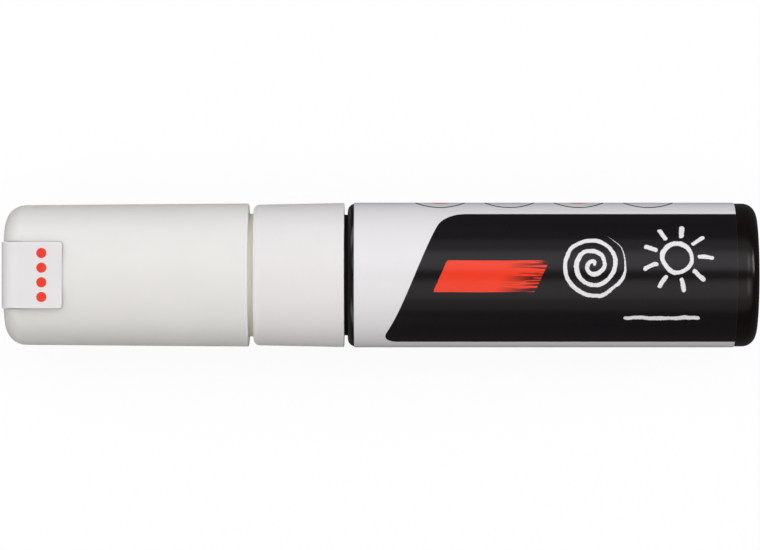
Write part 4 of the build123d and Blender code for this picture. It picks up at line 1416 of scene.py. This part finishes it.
class MARKER_OT_stage(bpy.types.Operator):
    """Set up the pale floor, the softboxes and the camera above the marker"""

    bl_idname = "marker.stage"
    bl_label = "Stage"

    def execute(self, context):
        stage = context.scene.marker_stage
        self.lay_floor(stage)
        self.light_room(context.scene, stage)
        spans = ((stage.strip_start, stage.strip_middle), (stage.strip_middle, stage.strip_stop))
        for side, name, glows, tint in (
            (1, "far", stage.far_glows, stage.far_tint),
            (-1, "near", stage.near_glows, stage.near_tint),
        ):
            for span, glow in zip(spans, glows):
                self.softbox(name + "_softbox", side, span, stage, glow, tint)
        for name, end, glows in (
            ("tail", 1, [stage.tail_glow]),
            ("cap", -1, [stage.cap_glow]),
            ("fill", -1, stage.fill_glows),
            ("wing", 1, stage.wing_glows),
        ):
            for side, glow in zip((1, -1), glows):
                self.end_lamp(stage, name, end, side, glow)
        self.place_camera(context.scene, stage)
        context.scene.view_settings.view_transform = "Standard"
        return {"FINISHED"}

    def lay_floor(self, stage):
        shape = bmesh.new()
        bmesh.ops.create_grid(shape, x_segments=1, y_segments=1, size=stage.floor_size)
        floor = object_from(shape, "floor")
        finish = new_finish("pale_floor")
        camera = finish.node("ShaderNodeLightPath", output="Is Camera Ray")
        lit_colour = finish.mix(camera, FLOOR_COLOUR, WHITE)
        lit = finish.node("ShaderNodeBsdfDiffuse", inputs={"Color": lit_colour})
        white = finish.node("ShaderNodeEmission", inputs={"Color": rgba(WHITE)})
        seen = self.seen_rays(finish, stage) * stage.floor_share
        shader = finish.node("ShaderNodeMixShader", inputs={0: seen, 1: lit, 2: white})
        finish.node_output("ShaderNodeOutputMaterial", shader)
        floor.data.materials.append(finish.owner)

    def seen_rays(self, finish, stage):
        """1 for what the camera sees directly, and a share of that in a gloss or through glass."""
        camera = finish.node("ShaderNodeLightPath", output="Is Camera Ray")
        glossy = finish.node("ShaderNodeLightPath", output="Is Glossy Ray")
        passed = finish.node("ShaderNodeLightPath", output="Is Transmission Ray")
        return finish.largest(camera, finish.largest(glossy, passed) * stage.gloss_share)

    def light_room(self, scene, stage):
        world = bpy.data.worlds.new("room")
        scene.world = world
        finish = Finish(world)
        ray = finish.node("ShaderNodeTexCoord", output="Generated")
        ceiling = finish.ramp(finish.parts(ray)[2], *CEILING_SPAN)
        seen = self.seen_rays(finish, stage)
        backdrop = finish.mix(ceiling, BACKDROP_COLOUR, CEILING_COLOUR)
        colour = finish.mix(seen, (stage.room, stage.room, stage.room), backdrop)
        shader = finish.node("ShaderNodeBackground", inputs={"Color": colour})
        finish.node_output("ShaderNodeOutputWorld", shader)

    def softbox(self, name, side, span, stage, glow, tint):
        """Long lamp beside the camera that spans two angles from the zenith, facing the marker."""
        reach = stage.lamp_distance
        upper, lower = (Vector((0, side * reach * math.sin(turn), reach * math.cos(turn))) for turn in span)
        across = (lower - upper).length
        self.lamp(name, (upper + lower) / 2, stage.strip_length, across, glow, tint)

    def end_lamp(self, stage, name, end, side, glow):
        """Lamp beyond one end of the marker, on its far or near side, facing it."""
        turn, rise, size = (getattr(stage, f"{name}_{word}") for word in ("turn", "rise", "lamp"))
        level = math.cos(rise)
        direction = Vector((end * level * math.cos(turn), side * level * math.sin(turn), math.sin(rise)))
        self.lamp(f"{name}_lamp", direction * stage.lamp_distance, *size, glow, WHITE)

    def lamp(self, name, from_axis, length, across, glow, tint):
        """Area lamp of an even glow, placed from the middle of the marker's axis and turned to it."""
        light = bpy.data.lights.new(name, "AREA")
        light.shape = "RECTANGLE"
        light.size = length
        light.size_y = across
        light.energy = glow * math.pi * length * across
        light.color = tint
        lamp = bpy.data.objects.new(name, light)
        bpy.context.scene.collection.objects.link(lamp)
        lamp.location = from_axis + Vector((0, 0, axis_height))
        lamp.rotation_euler = (-from_axis).to_track_quat("-Z", "Y").to_euler()
        lamp.visible_camera = False

    def place_camera(self, scene, stage):
        camera = bpy.data.cameras.new("camera")
        camera.lens = camera.sensor_width * stage.camera_height / stage.view_width
        camera.clip_start = CAMERA_CLIP
        holder = bpy.data.objects.new("camera", camera)
        scene.collection.objects.link(holder)
        holder.location = (stage.camera_aim, 0, axis_height + stage.camera_height)
        scene.camera = holder


class MARKER_PT_panel(bpy.types.Panel):
    """Lists the steps that dress the marker"""

    bl_idname = "MARKER_PT_panel"
    bl_label = "Liquid Chalk Marker"
    bl_space_type = "VIEW_3D"
    bl_region_type = "UI"
    bl_category = "Marker"

    def draw(self, context):
        for operator in OPERATORS:
            self.layout.operator(operator.bl_idname)


OPERATORS = (
    MARKER_OT_barrel,
    MARKER_OT_film,
    MARKER_OT_holder,
    MARKER_OT_nib,
    MARKER_OT_cap,
    MARKER_OT_tab,
    MARKER_OT_cup,
    MARKER_OT_spring,
    MARKER_OT_valve,
    MARKER_OT_balls,
    MARKER_OT_stage,
)
GROUPS = {
    "marker_sizes": MarkerSizes,
    "marker_colours": MarkerColours,
    "marker_print": MarkerPrint,
    "marker_stage": MarkerStage,
}


def register():
    for name, group in GROUPS.items():
        bpy.utils.register_class(group)
        setattr(bpy.types.Scene, name, PointerProperty(type=group))
    for operator in OPERATORS:
        bpy.utils.register_class(operator)
    bpy.utils.register_class(MARKER_PT_panel)


def unregister():
    bpy.utils.unregister_class(MARKER_PT_panel)
    for operator in reversed(OPERATORS):
        bpy.utils.unregister_class(operator)
    for name, group in reversed(GROUPS.items()):
        delattr(bpy.types.Scene, name)
        bpy.utils.unregister_class(group)


def main():
    register()
    for operator in OPERATORS:
        category, name = operator.bl_idname.split(".")
        getattr(getattr(bpy.ops, category), name)()


if __name__ == "__main__":
    main()
